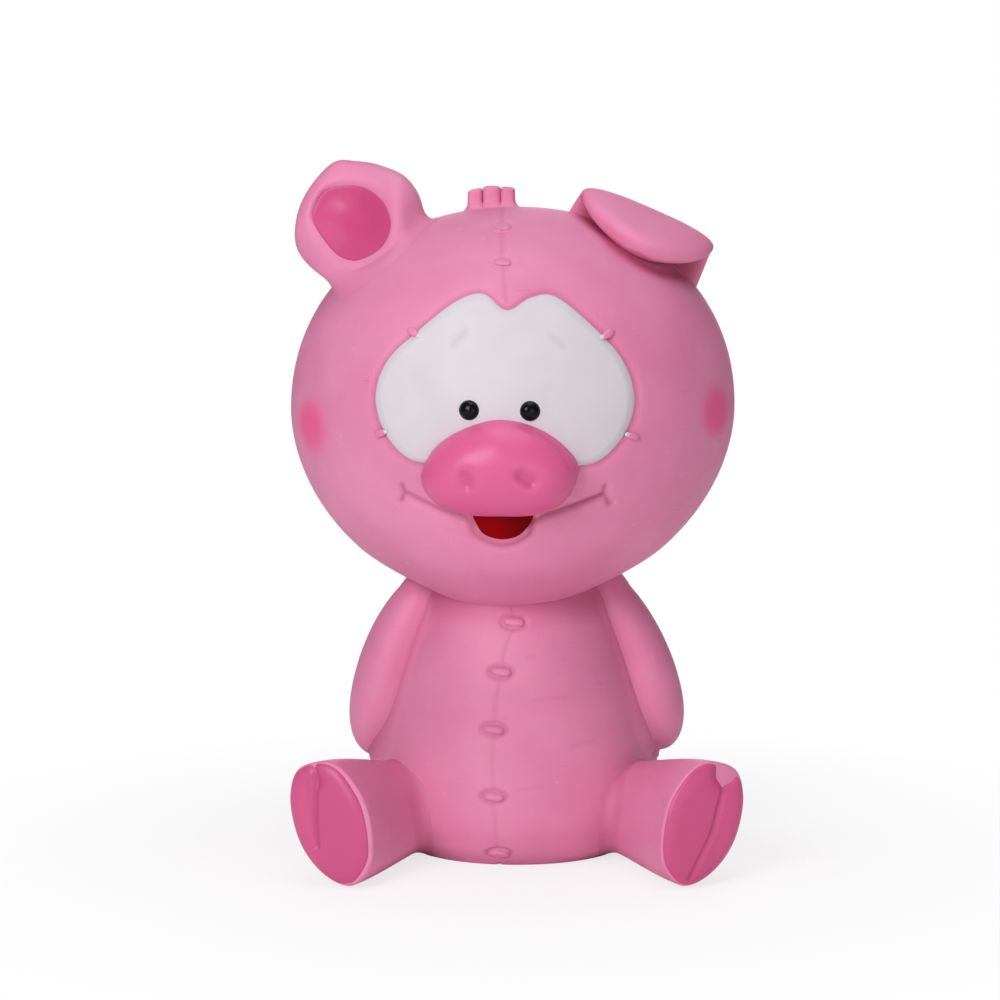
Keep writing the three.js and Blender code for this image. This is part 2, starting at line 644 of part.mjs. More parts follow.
// Makes the upright ear, a thick oval with a dish in its front, and the lining that lies in the dish.
function addUprightEar() {
  const reach = crownDistance(EAR_ANGLE) + EAR_STAND;
  const x = -reach * Math.cos(radians(EAR_ANGLE));
  const z = reach * Math.sin(radians(EAR_ANGLE));
  const front = -EAR_THICKNESS / 2;
  const dish = (inset) =>
    ball(DISH_WIDTH / 2 - inset, DISH_DEPTH - inset, DISH_TALL / 2 - inset, INNER_SIDES, INNER_RINGS);
  const ear = solid(ball(EAR_WIDTH / 2, EAR_THICKNESS / 2, EAR_TALL / 2).translate(x, 0, z));
  const hollow = solid(dish(0).translate(x, front, z));
  addPiece(head, "right_ear", ear.subtract(hollow).subtract(solid(headForm(GAP))), LATEX_PINK);
  const bowl = solid(dish(GAP).translate(x, front, z));
  const lining = bowl.intersect(ear).subtract(solid(dish(GAP + LINING_THICKNESS).translate(x, front, z)));
  addPiece(head, "right_ear_lining", lining.subtract(solid(headForm(2 * GAP))), LINING_PINK, SATIN);
}

// Makes the folded ear: a root on the head behind the fold, and a flap whose back edge turns in it.
function addFoldedEar() {
  const reach = crownDistance(FOLD_ANGLE) + FOLD_STAND;
  const place = new THREE.Object3D();
  const angle = radians(FOLD_ANGLE);
  place.position.set(reach * Math.cos(angle), -FOLD_FORWARD, reach * Math.sin(angle));
  place.rotation.y = radians(FOLD_SLOPE);
  place.updateMatrix();
  const headRoom = solid(headForm(GAP));
  const knuckle = FLAP_THICKNESS / 2;

  const tongueShape = new THREE.Shape();
  const half = FLAP_WIDTH / 2 - knuckle;
  tongueShape.moveTo(-half, 0);
  tongueShape.bezierCurveTo(-half, FLAP_LENGTH, half, FLAP_LENGTH, half, 0);
  tongueShape.closePath();
  const bevel = { bevelThickness: knuckle - FLAP_FLAT / 2, bevelSize: knuckle };
  const cut = { curveSegments: CURVE_STEPS, bevelSegments: EDGE_STEPS };
  const slab = new THREE.ExtrudeGeometry(tongueShape, { depth: FLAP_FLAT, ...bevel, ...cut });
  slab.translate(0, 0, -FLAP_FLAT / 2).rotateX(-Math.PI / 2 - radians(FLAP_TILT)).applyMatrix4(place.matrix);
  addPiece(head, "left_ear_flap", solid(slab).subtract(headRoom), LATEX_PINK);

  const rootDepth = knuckle + GAP + ROOT_BACK;
  const wall = new THREE.Shape();
  wall.moveTo(half, -FLAP_LENGTH);
  wall.lineTo(half, 0);
  wall.absarc(half - knuckle, 0, knuckle, 0, Math.PI / 2);
  wall.absarc(knuckle - half, 0, knuckle, Math.PI / 2, Math.PI);
  wall.lineTo(-half, -FLAP_LENGTH);
  const edge = ROOT_BACK / 2;
  const round = { bevelThickness: edge, bevelSize: edge, bevelOffset: -edge };
  const root = new THREE.ExtrudeGeometry(wall, { depth: rootDepth - 2 * edge, ...round, ...cut });
  root.rotateX(Math.PI / 2).translate(0, rootDepth - edge, 0).applyMatrix4(place.matrix);
  const turningRoom = post(knuckle + GAP, -FAR, FAR, BALL_SIDES).rotateY(Math.PI / 2);
  const seat = solid(root).subtract(solid(turningRoom.applyMatrix4(place.matrix))).subtract(headRoom);
  addPiece(head, "left_ear_root", seat, LATEX_PINK);
}

// Three round-ended locks that fan out from one place on the crown.
function addTuft() {
  const height = HEAD_HEIGHT / 2;
  let tuft = null;
  for (const side of [-1, 0, 1]) {
    const straight = 2 * (LOCK_LENGTH - LOCK_RADIUS);
    const lock = new THREE.CapsuleGeometry(LOCK_RADIUS, straight, BAR_END_RINGS, BAR_SIDES);
    const x = TUFT_SIDE + side * LOCK_SPACING;
    lock.rotateX(Math.PI / 2).rotateY(side * radians(LOCK_LEAN)).translate(x, 0, height);
    tuft = tuft ? tuft.add(solid(lock)) : solid(lock);
  }
  addPiece(head, "hair_tuft", tuft.subtract(solid(headForm(GAP))), LATEX_PINK);
}

// Heights inside the squeaker, from the floor of the toy up
const cupFloor = FLANGE_RECESS + FLANGE_THICKNESS;
const ledgeTop = FLANGE_RECESS + LEDGE_HEIGHT;
const plateTop = ledgeTop + GAP + PLATE_THICKNESS;
const reedTop = plateTop + GAP + REED_THICKNESS;
const cupTop = FLANGE_RECESS + SQUEAKER_HEIGHT;
const cupBore = SQUEAKER_RADIUS - SQUEAKER_WALL;

// A flanged cup with an air hole in its floor, a bead that snaps over the base wall and a ledge inside.
function addSqueakerHousing() {
  const beadLow = BASE_WALL + GAP;
  const section = [
    [AIR_HOLE_RADIUS, FLANGE_RECESS],
    [FLANGE_RADIUS, FLANGE_RECESS],
    [FLANGE_RADIUS, cupFloor],
    [SQUEAKER_RADIUS, cupFloor],
    [SQUEAKER_RADIUS, beadLow],
    [SQUEAKER_RADIUS + BEAD_REACH, beadLow],
    [SQUEAKER_RADIUS, beadLow + BEAD_HEIGHT],
    [SQUEAKER_RADIUS, cupTop],
    [cupBore, cupTop],
    [cupBore, ledgeTop],
    [cupBore - LEDGE_WIDTH, ledgeTop],
    [cupBore - LEDGE_WIDTH, cupFloor],
    [AIR_HOLE_RADIUS, cupFloor],
  ];
  addPiece(toy, "squeaker_housing", solid(turnedRing(section, PLUG_SIDES)), SQUEAKER_WHITE, PLASTIC);
}

// The slotted plate, the reed over its slot and the bridge that holds the reed's root.
function addReedWorks() {
  const middle = (ledgeTop + GAP + plateTop) / 2;
  const slotLength = REED_LENGTH - CLAMP_LENGTH + REED_SLOT_CLEARANCE;
  const slotWidth = REED_WIDTH + 2 * REED_SLOT_CLEARANCE;
  const slotStart = CLAMP_LENGTH - REED_LENGTH / 2;
  const slot = new THREE.BoxGeometry(slotLength, slotWidth, FAR);
  slot.translate(slotStart + slotLength / 2, 0, middle);
  const disc = solid(post(cupBore - GAP, ledgeTop + GAP, plateTop, PLUG_SIDES));
  addPiece(toy, "reed_plate", disc.subtract(solid(slot)), SQUEAKER_WHITE, PLASTIC);

  const reed = new THREE.BoxGeometry(REED_LENGTH, REED_WIDTH, REED_THICKNESS);
  addPiece(toy, "reed", solid(reed.translate(0, 0, reedTop - REED_THICKNESS / 2)), REED_AMBER, PLASTIC);

  const low = plateTop + GAP;
  const high = reedTop + CLAMP_CLEARANCE + CLAMP_WALL;
  const clampWidth = REED_WIDTH + 2 * (GAP + CLAMP_WALL);
  const clampMiddle = (CLAMP_LENGTH - REED_LENGTH) / 2;
  const block = new THREE.BoxGeometry(CLAMP_LENGTH, clampWidth, high - low);
  const passage = new THREE.BoxGeometry(FAR, REED_WIDTH + 2 * GAP, 2 * (reedTop + CLAMP_CLEARANCE - low));
  block.translate(clampMiddle, 0, (low + high) / 2);
  passage.translate(0, 0, low);
  addPiece(toy, "reed_clamp", solid(block).subtract(solid(passage)), SQUEAKER_WHITE, PLASTIC);
}

// A cap with an air hole and a short spigot inside the cup.
function addSqueakerCap() {
  const low = cupTop + GAP;
  const spigot = cupBore - GAP;
  const section = [
    [AIR_HOLE_RADIUS, low],
    [spigot - CAP_SPIGOT_WALL, low],
    [spigot - CAP_SPIGOT_WALL, low - CAP_SPIGOT],
    [spigot, low - CAP_SPIGOT],
    [spigot, low],
    [SQUEAKER_RADIUS, low],
    [SQUEAKER_RADIUS, low + CAP_THICKNESS],
    [AIR_HOLE_RADIUS, low + CAP_THICKNESS],
  ];
  addPiece(toy, "squeaker_cap", solid(turnedRing(section, PLUG_SIDES)), SQUEAKER_WHITE, PLASTIC);
}

const rightHip = addLeg(-1, "right_leg", "right_sole");
const leftHip = addLeg(1, "left_leg", "left_sole");
addTorso([rightHip, leftHip]);
addBellyPanel();
addArm(-1, "right_arm");
addArm(1, "left_arm");
addTail();
addHeadShell();
addSnout();
addTongue();
addEyePatch();
addEye(-1, "right_eye");
addEye(1, "left_eye");
addUprightEar();
addFoldedEar();
addTuft();
addSqueakerHousing();
addReedWorks();
addSqueakerCap();

// The origin is on the floor under the middle of the whole toy.
const pig = new THREE.Group();
pig.add(toy);
pig.updateMatrixWorld(true);
const middle = new THREE.Box3().setFromObject(pig).getCenter(new THREE.Vector3());
toy.position.set(-middle.x, -middle.y, 0);
pig.updateMatrixWorld(true);

export default pig;
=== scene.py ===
"""The looks of a squeaky latex pig: soft skins, paint, light and camera, laid out as an add-on."""
import json
import math
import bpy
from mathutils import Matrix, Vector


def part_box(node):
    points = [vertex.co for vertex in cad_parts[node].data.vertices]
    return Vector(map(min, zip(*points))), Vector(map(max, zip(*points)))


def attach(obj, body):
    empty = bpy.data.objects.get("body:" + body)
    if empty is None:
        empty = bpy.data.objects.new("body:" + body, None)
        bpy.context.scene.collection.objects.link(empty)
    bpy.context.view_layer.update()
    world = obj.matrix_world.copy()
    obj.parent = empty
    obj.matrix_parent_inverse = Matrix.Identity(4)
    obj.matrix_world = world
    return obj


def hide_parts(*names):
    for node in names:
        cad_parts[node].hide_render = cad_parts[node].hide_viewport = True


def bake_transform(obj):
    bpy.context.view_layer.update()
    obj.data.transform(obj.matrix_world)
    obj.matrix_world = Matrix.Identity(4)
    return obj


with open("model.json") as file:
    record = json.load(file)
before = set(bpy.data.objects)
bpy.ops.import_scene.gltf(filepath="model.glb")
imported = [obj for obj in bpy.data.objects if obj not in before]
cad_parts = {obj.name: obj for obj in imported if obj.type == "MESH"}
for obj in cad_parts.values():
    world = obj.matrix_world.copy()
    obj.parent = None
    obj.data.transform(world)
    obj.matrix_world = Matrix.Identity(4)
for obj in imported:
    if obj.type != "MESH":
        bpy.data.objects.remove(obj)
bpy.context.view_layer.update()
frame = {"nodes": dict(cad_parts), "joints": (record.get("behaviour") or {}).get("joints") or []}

from types import SimpleNamespace

import bpy
import numpy as np
from mathutils import Vector

bl_info = {
    "name": "Squeaky latex pig",
    "version": (1, 0, 0),
    "blender": (4, 5, 0),
    "location": "3D View > Sidebar > Pig",
    "description": "Builds the skins, paint and stage of a sitting latex pig",
    "category": "Mesh",
}

MM = 0.001
SIDES = {-1: "right", 1: "left"}  # the pig's own sides by the sign of x
OUTLINE_POINTS, PROFILE_POINTS, LINE_POINTS = 720, 400, 60  # points of the fine curves
NO_LENGTH, NO_WIDTH, NO_REACH, LEAST_SCALE = 1e-9, 1e-6, 0.01, 0.1  # guards against division by nothing


def node_box(name):
    """Lowest and highest corner of a solid at rest, in mm."""
    low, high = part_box(name)
    return np.array(low) / MM, np.array(high) / MM


# Places and sizes read from the frame, in mm
HOUSING_LOW, HOUSING_HIGH = node_box("squeaker_housing")
BODY_LOW, BODY_HIGH = node_box("torso_shell")
HEAD_LOW, HEAD_HIGH = node_box("head_shell")
EAR_LOW, EAR_HIGH = node_box("right_ear")
TAIL_LOW, TAIL_HIGH = node_box("tail")
PIVOTS = {joint["name"]: np.array(joint.get("pos_m", (0, 0, 0))) / MM for joint in frame["joints"]}
AXIS = np.array([*(HOUSING_LOW + HOUSING_HIGH)[:2] / 2, 0.0])

# Head: a superellipse from chin to crown, fuller above, that takes its full depth below the snout
HEAD_GRID = (300, 320)
HEAD_CROWDING = 0.6  # how much closer the columns stand in front
HEAD_ROW_POWER = 0.9
HEAD_HEIGHT = 79.4
HEAD_CENTRE = np.array([*(HEAD_LOW + HEAD_HIGH)[:2] / 2, HEAD_HIGH[2] - HEAD_HEIGHT / 2])
HEAD_TURN = math.radians(-3)
HEAD_SLANT = 0.012  # sideways per height
HEAD_FRONT = (0.05, 0.3)  # cosine from the front over which the sculpted lines come in
CROWN_POWER, CHIN_POWER = 2.1, 1.9
CHIN_SPAN = (-0.85, -0.3)  # shares of the half height over which the depth comes in
CHIN_TUCK, CHIN_TUCK_SPAN = 0.04, (0.7, 0.9)
CHIN_DROP = (1.8, 15)  # how far the chin sags in front, and over what width
CHIN_DROP_SPAN, CHIN_DROP_FRONT = (0.55, 0.95), (0.2, 0.9)

# Lines on the face, sideways and up from the middle of the head
PATCH_CENTRE = (0.2, 6)
PATCH_OUTLINE = [
    (0.6, 20.6), (5, 22.9), (9.5, 23.1), (16.2, 18), (22.1, 11.5), (24.5, 4.6), (23.2, -1.7), (18.9, -6.9),
    (14, -8.4), (0, -9), (-14, -8.2), (-19, -6.5), (-22.9, -1.7), (-24.3, 4.6), (-21.9, 11.2), (-15.4, 17.3),
    (-9, 22.2), (-4, 23.6)]
EDGE_STITCHES = [(-16.9, 16.3), (19.3, 16), (-23.2, -2.6), (24.1, -3)]
BROWS = [[(-9.3, 14.4), (-7.1, 16.6)], [(8.8, 16), (11.2, 14)]]
EYES = {"right_eye": (-6.2, 2.2), "left_eye": (5.2, 2.1)}
MOUTH_CENTRE = (-0.2, -19.4)
MOUTH_OUTLINE = [
    (-5.7, -17.4), (0, -17), (5.4, -17.4), (4.8, -20.2), (2.8, -22.4), (-0.4, -23.3), (-3.8, -22.3),
    (-5.3, -20.2)]
SMILE = [
    (-19, -14.1), (-12.6, -17), (-7, -18.9), (-5.3, -22.3), (-0.4, -24.2), (4.4, -22.3), (6.2, -19),
    (12.5, -16.6), (18.9, -14.3)]
TICKS = [[(-19.5, -12.5), (-19, -14.1), (-19.7, -15.6)], [(19.1, -12.7), (18.9, -14.3), (20, -16.1)]]
SNOUT_CENTRE = (-0.7, -8.6)
SNOUT_OUTLINE = [
    (-15.4, -10.6), (-12.7, -4.9), (-7.2, -1), (-0.6, 0.9), (6.3, -0.6), (11.7, -4.5), (14.2, -9.2),
    (11.8, -14.8), (6.4, -17.5), (-0.4, -17.9), (-7.2, -17.5), (-13, -15.2)]
NOSTRILS = [[(-6.5, -9.9), (-6.2, -11)], [(4, -9.6), (5.4, -10.6)]]
CROWN_SEAM = [(-1.6, 39.5), (-1.2, 36), (-0.6, 29.4), (0.6, 21.5)]
CROWN_STITCHES = [(-1.2, 36), (-0.6, 29.4)]
# painted shadow of the folded ear: a dark line on the head just below the flap
FLAP_SHADE = [(14, 38.2), (17, 35.7), (20.6, 32), (24.4, 29.4), (28.2, 27.4), (32, 26.4), (35.2, 25.8)]
FLAP_SHADE_POINTS = 40
BLUSH = [(-38.6, -20, -2.6), (40.6, -16, 0.4)]
BLUSH_SIZE, BLUSH_CORE = np.array([7.0, 8.5, 6.8]), 0.35

# Bells across those lines: height, width and how far from the line; what is cut in, then the painted shade in
# it
SMILE_CUT, TICK_CUT = (1.0, 0.7), (0.8, 0.5)  # shares of the smile's depth
CROWN_SEAM_CUT = 0.5  # share of the seam's depth
PATCH_CUT, LIP_RISE = (0.35, 0.7, 0.4), (0.3, 0.4, 0.6)
MOUTH_EDGE = (-0.9, 0.5)
CROWN_RING_CUT = 0.4
SMILE_SHADES, SMILE_SHADE_WAY, SMILE_SHADE_WIDTH = (0.6, 1.0), (0, 10), 0.5
TICK_SHADE, PATCH_SHADE, FLAP_SHADOW_BELL, SEAM_SHADE = (0.7, 0.4), (0.35, 0.5, 0.5), (0.9, 1.0), (0.2, 0.4)

# Moulded stitches: grid, tilt, shares of the size on the crown, sink and height of the bar, groove round it
STITCH_GRID, STITCH_POWER = (24, 20), 3
STITCH_TILT = -0.1
CROWN_STITCH_LENGTH, CROWN_STITCH_RADIUS = 0.42, 0.68
STITCH_SINK, STITCH_RISE = 0.15, 0.9
RING_OUT, RING_CUT = (0.4, 0.45), (0.5, 0.2, 1.0)
EDGE_NUBS = {"white_paint": (-0.8, 0.6, 0.45), "pink_latex": (0.35, 1.2, 0.75)}  # shift, half length, radius
EDGE_NUB_RISE = 0.3

# Plates of the face: rows in front and behind, columns; how they are rounded and sunk, and their painted
# shade
RIM_SHARE = 0.985  # where the rows behind a plate start
PATCH_GRID, PATCH_ROUND, PATCH_SINK, PATCH_BACK = (70, 12, 480), 1.3, 0.35, 1.0
# painted shade of the moulded brow marks on the eye patch: height and width
BROW_SHADE = (0.36, 0.8)
EYE_PROFILE = [(0, -1.1), (0.85, -0.95), (1.5, -0.55), (1.8, -0.1), (1.97, 0.2), (1.6, 0.9), (0, 1.0)]
EYE_GRID = (40, 40)
SNOUT_GRID, SNOUT_BACK, SNOUT_EDGE_POWER, SNOUT_DOME_POWER = (150, 220), 2.0, 0.92, 0.85
# the nostrils and the groove beside the snout carry painted shade
NOSTRIL_BELL, NOSTRIL_DEPTH, NOSTRIL_SHADE = (1.0, 1.35), 1.1, 0.5
MUZZLE_GROOVE, MUZZLE_CORNER, MUZZLE_SHADE = (0.7, 0.035, 0.9), (1.0, 0.5, math.radians(30)), 0.6
MOUTH_GRID, MOUTH_OVER, MOUTH_LIFT, MOUTH_DOME, MOUTH_BACK = (24, 8, 120), 0.25, 0.3, 0.35, 0.6
# painted shade: the mouth's recess painted darker towards its right side
MOUTH_SHADE = (-3.0, 4.5)

# Tuft: sideways place, half width, height and slant of each lock
LOCKS = [(-7.4, 1.5, 3.5, 0.22), (-4.1, 1.75, 4.1, 0.0), (-0.9, 1.4, 3.9, -0.1)]
LOCK_DEPTH, LOCK_ROOT, LOCK_ROUND, LOCK_POWER, LOCK_CLOSE = 1.7, 4.0, 0.7, 0.6, 0.1
LOCK_GRID = (60, 12, 48)  # rows of the side and of the top, columns

# Body: half width at heights from the base to the neck, flatter in depth at the hips
BODY_GRID = (300, 300)
BODY_CROWDING = 0.5
BODY_PROFILE = [(21, 0), (26.4, 4.4), (28.4, 13), (22.4, 36), (16.6, 52.4)]
BASE_RIM = [(16, 0), (19.5, 0)]
NECK_PROFILE = [(15.5, 55), (13, 58.5), (7, 60), (0, 60)]
PEAR_POINTS = 220
PLUG_GAP, PLUG_DEPTH, SEAT_WAYS = 0.3, 2.2, (0, 0.7, 1)  # gap round the squeaker, depth and rows of its seat
BASE_BLEND = (3, 6)  # where beyond the hole the relief and the flattening come in
HIP_HEIGHT, NECK_HEIGHT = 13, 52.4
HIP_FLATNESS = 26 / 28.4
BODY_FRONT = (0.1, 0.4)
BODY_SEAM = [
    (-1, 52.4), (-0.3, 47.8), (-2, 43.1), (-2.8, 38.6), (-3.8, 33.2), (-4.4, 27.4), (-4.7, 20.9),
    (-4.4, 14.4), (-4, 8.4), (-3.4, 2.8), (-3.3, 0)]
SCRATCHES = [
    [(3.4, 33.3), (9.8, 33.7)], [(10.6, 24.2), (15.4, 24.9)], [(0.2, 16.2), (5, 16.9)],
    [(2.2, 41.3), (3.8, 41.6)], [(16.2, 35.9), (17, 35.2)]]
BODY_STITCHES = [(-0.5, 48), (-3, 38.6), (-4.5, 27.6), (-4.5, 14.8), (-3.5, 3)]
SCRATCH_CUT, SCRATCH_SHADE, BODY_SEAM_SHADE, RING_SHADE = (0.1, 0.3), (0.13, 0.3), (0.14, 0.4), 0.5
# painted shade under the chin: a darker band round the top of the body below the head
NECK_SHADE, NECK_SHADE_SPAN = 0.55, (45, 52)

# Arms: capsules that lie along the sides of the body
ARM_GRID = (120, 96)
ARM_MIDDLE = {-1: 37, 1: 38.2}
ARM_HALF = 19
HAND_RADIUS, SHOULDER_RADIUS = 6.6, 5.7
HAND_POWER, SHOULDER_POWER = 3.4, 4
ARM_FLATNESS = 17 / 13.2
ARM_BACK = 1.5
ARM_OUT = {-1: (0.8, 1.8), 1: (2.0, 0.6)}  # at the hand and at the shoulder
ARM_BOW = 2.4
ARM_INSIDE = (-0.2, 0.5)
ARM_SHADE = 0.85
SHOULDER_BEND = (1, -7)  # heights from the joint that mark the ends of a span of the arm

# Legs: from a round hip to an egg-shaped foot, outward and up in the foot's own frame
LEG_COLUMNS, ROOT_ROWS, LEG_ROWS = 120, 10, 240
HIP = np.array([19, 0.0, 9.869])
LEG_YAW, LEG_PITCH, LEG_ROLL = math.radians(22.5), math.radians(-3.098), math.radians(12)
HIP_HALF, HIP_TOP, HIP_BOTTOM = 7.7, 7.7, 9.9
ROOT_DEPTH = 8
FOOT_OUTLINE = [
    (1.9, 12.2), (6.2, 11.1), (8.4, 7), (8.8, 1.8), (7.8, -3.5), (5.2, -8.1), (1.5, -11.3), (-2.2, -11.8),
    (-6, -8.5), (-7.3, -3), (-7, 3), (-4.9, 8), (-2, 11.3)]
FOOT_RIM = 0.8
RIM_STEPS, RIM_SHARES = np.array([0.3, 0.45, 0.5]), [0.99, 0.96, 0]
LEG_SHADE = 0.4
LEG_BEND = (1.0, 14.0)  # places along the leg that mark the ends of a span of it
SOLE_GRID, SOLE_INSET, SOLE_INSIDE = (70, 8, 240), 0.15, (-0.2, 0.6)
SOLE_INSETS = {-1: 0.7, 1: 0.1}
SOLE_SINK, SOLE_DOME, SOLE_POWER, SOLE_BACK = 0.9, 1.5, 7, 0.6
CLEFTS = {-1: [(2.2, 11.6), (1.7, 9), (2.7, 5), (3.6, 0), (4, -3.5)],
          1: [(3.3, 11.4), (3.5, 8), (3, 1.8), (2.5, -1.7), (0.7, -7.4), (-0.2, -10.6)]}
CLEFT_POINTS = 30
NOTCHES = {-1: ((1.7, 8.8), 1.3, 0.35), 1: ((3.6, 9.9), 1.9, 2.0)}  # place, width and depth
# painted shade in the cleft and in the notch
CLEFT_CUT, CLEFT_END, CLEFT_SHADE, NOTCH_SHADE = (0.4, 0.55), 0.06, (0.4, 0.45), 0.5
# the soles' own deeper paint, and a painted light that makes the outer toe paler
SOLE_MARK, TOE_PAINTED_LIGHT, TOE_SPAN = 0.72, 0.2, (3.5, 5)

# Upright ear: outlines in the row frame, its lean and how wide its base bends
EAR_GRID, LINING_GRID = (220, 200), (60, 180)
EAR_CENTRE = (-30.6, 125.4)
EAR_OUTLINE = [
    (-35.6, 137.1), (-31, 137.4), (-26, 136.5), (-20.7, 133.9), (-17.6, 127.9), (-18, 118), (-28.5, 111),
    (-37, 114.6), (-42.4, 119.6), (-43, 125.6), (-40.6, 131.7)]
LINING_OUTLINE = [
    (-37.2, 131.2), (-33.2, 132.5), (-28.9, 132), (-25.4, 129.4), (-23.8, 125.8), (-24.2, 122.8),
    (-26, 120.2), (-29, 118.5), (-31.6, 118.1), (-34.8, 119.6), (-38.3, 123.7), (-39.4, 127)]
DISH_SHARES = [(0, 1), (0.4, 0.85), (0.75, 0.5)]  # way to the lining's edge and share of the dish's depth
RIM_FRONT = [(0, 0.8), (0.3, 0), (0.65, 0.6), (0.92, 1.9)]  # way over the rim, depth behind the ear's front
RIM_BACK = [(0.92, 1.9), (0.5, 0.4), (0, 0)]  # way over the rim, depth before the ear's back
BACK_WAYS, BACK_SWELL = (0.5, 0), 0.2
PAINT_RISE = 0.15
LINING_EDGE = [(0.98, 0.7), (1, 1.2)]  # way to its edge, depth behind the ear's front
LINING_BACK = [(0.6, 0.6), (0, 0.7)]  # way to its edge, depth behind the dish's bottom
EAR_LEAN, EAR_LEAN_SPAN = 14.5, (-11.0, 14.0)
EAR_LEAN_WAY = (0.64, -0.77)
EAR_INNER_EASE, EAR_INNER_SPAN = 0.5, (-24.0, -17.0)
EAR_SHADE = 0.12

# Folded ear: path of its middle across the fold, depth and height, and shares of its length
FOLD_GRID = (120, 96)
FOLD_SLOPE = math.radians(23.4)
FOLD_PATH = [(3, -13), (2.4, -6), (1.2, -1.2), (-1.6, 0.1), (-5.6, -1.4), (-10, -3.7), (-13.8, -5.7)]
FLAP_START, ROOT_END = 0.45, 0.12
ROOT_WIDER, ROOT_SHIFT, ROOT_POWER = 1.06, 0.4, 4
LEAF_POWER, LEAF_FULLNESS, LEAF_END_POWER, LEAF_SHIFT = 2.6, 0.85, 10, 0.6
FLAP_SECTION = (0.7, 0.8)  # powers that round its section across and in thickness
FLAP_INSIDE, FLAP_INNER_SHADES, FLAP_SHADE_SPAN = (0.2, 0.8), (1.0, 0.6), (0.3, 0.5)

# Tail: a guess, because the photograph doesn't show the back
TAIL_GRID = (90, 32)
TAIL_CURL, TAIL_CURL_START, TAIL_TURNS = 3, 0.3, 1.2
TAIL_RADII, TAIL_TIP = (1.75, 1.15), 0.12
TAIL_SHORTER, TAIL_SINK, TAIL_DROP = 1.6, 0.8, 0.2

# Squeaker housing: radius and height round its wall section
HOUSING_SECTION = [
    (2.2, 0.5), (11.4, 0.5), (11.4, 1.7), (9.4, 1.7), (9.4, 3.7), (10.3, 3.7), (9.4, 5.3), (9.4, 12.5),
    (8.1, 12.5), (8.1, 4.9), (7.1, 4.9), (7.1, 1.7), (2.2, 1.7)]
HOUSING_COLUMNS, EDGE_BREAK = 96, 0.04

# Soft fillets where one skin runs into another: their reach, and where it fades
SHOULDER_FILLET, HAND_FILLET = 2.6, 6.0
LEG_FILLET, LEG_FILLET_END, LEG_FILLET_FLOOR, LEG_FILLET_INSIDE = 4.4, 6, (0, 2), (-7, -2.5)
LEG_TOP_EASE, LEG_TOP_SPAN = 0.7, (0.1, 1)
EAR_FILLET, EAR_FILLET_SPAN = 4.0, (0.27, 0.36)
EAR_BACK_EASE, EAR_BACK_SPAN = 0.7, (0.56, 0.66)
TUFT_FILLET = 2.0
FILLET_SINK = 0.2  # how far a fillet runs in under the other skin
FILLET_STEPS = 16

# Surfaces: distance in mm between the features of a pattern, what its noise ranges over, what that becomes
LATEX = "pink latex, cast and left matt"
THREAD_GAP, THREAD_WAVER = 0.9, {"Distortion": 3.5, "Detail": 2.0, "Detail Scale": 0.5}
WORN_SIZE, WORN_RANGE = 7, (0.35, 0.7, 0.1, 1.0)
CLOUD_SIZE, CLOUD_RANGE = 16, (0.35, 0.7, 0.0, 1.0)
SPECK_SIZE, SPECK_RANGE = 1.6, (0.72, 0.82, 0.0, 0.35)
STREAK_SIZE, STREAK_RANGE, STREAK_SHADE = (6, 0.7), (0.70, 0.77, 0.0, 1.0), 0.3
PAINT_CLOUD_SIZE, PAINT_CLOUD_RANGE = 9, (0.35, 0.75, 0.0, 0.2)
FIBRE_SIZE, FIBRE_RANGE, FLOOR_GLOW_RANGE = 3, (0.0, 1.0, 0.97, 1.0), (0.05, 0.14, 0.75, 1.0)
FINE_DETAIL, CLOUD_DETAIL = 2.0, 3.0
LATEX_BUMP, PAINT_BUMP = (0.15, 0.06), (0.2, 0.1)  # strength, and depth in mm
LATEX_ROUGHNESS, PAINT_SPREAD = 0.6, 0.05
LATEX_FINISH = {"Specular IOR Level": 0.75, "Subsurface Weight": 0.2, "Subsurface Scale": 1.5 * MM}

# Stage: camera as in the photograph, and lamps with their place, size in mm, power in watts and colour
CAMERA_AIM = (-2.5, 3.8, 70)
CAMERA_DISTANCE = 600
CAMERA_RISE = math.radians(6)
CAMERA_LENS = 108
LAMPS = [
    ("key", (-310, -560, 360), 300, 2.55, "FFFFFF"),
    ("fill", (270, -610, 40), 420, 1.2, "FFE7EC"),
    ("top", (40, -60, 620), 420, 1.2, "FFFFFF"),
    ("back", (60, 620, 260), 420, 1.1, "FFFFFF")]
WHITE = (1.0, 1.0, 1.0, 1.0)
ROOM_LIGHT = 0.18
FLOOR_RADIUS, FLOOR_GRID, FLOOR_DROP, FLOOR_THICKNESS = 900, (12, 72), 0.05, 2.0


def smoothstep(value, low, high):
    """0 below low, 1 above high and a smooth S between them."""
    share = np.clip((value - low) / (high - low), 0.0, 1.0)
    return share * share * (3.0 - 2.0 * share)


def lerp(low, high, share):
    """The value that lies at a share of the way from low to high."""
    return low + (high - low) * share


def power_of(value, power):
    """A power that keeps the sign of the value, for superellipses."""
    return np.sign(value) * np.abs(value) ** power


def rounded(value, power):
    """Square root of 1 less a power of the value, which rounds off an end at 1."""
    return np.sqrt(np.maximum(1 - value ** power, 0.0))


def bell(distance, height, width, middle=0.0):
    """A bell of a height at the middle distance, which fades over the width."""
    return height * np.exp(-((distance - middle) / width) ** 2)


def unit(vectors):
    """Vectors of the length 1 in the same directions."""
    return vectors / np.maximum(np.linalg.norm(vectors, axis=-1, keepdims=True), NO_LENGTH)


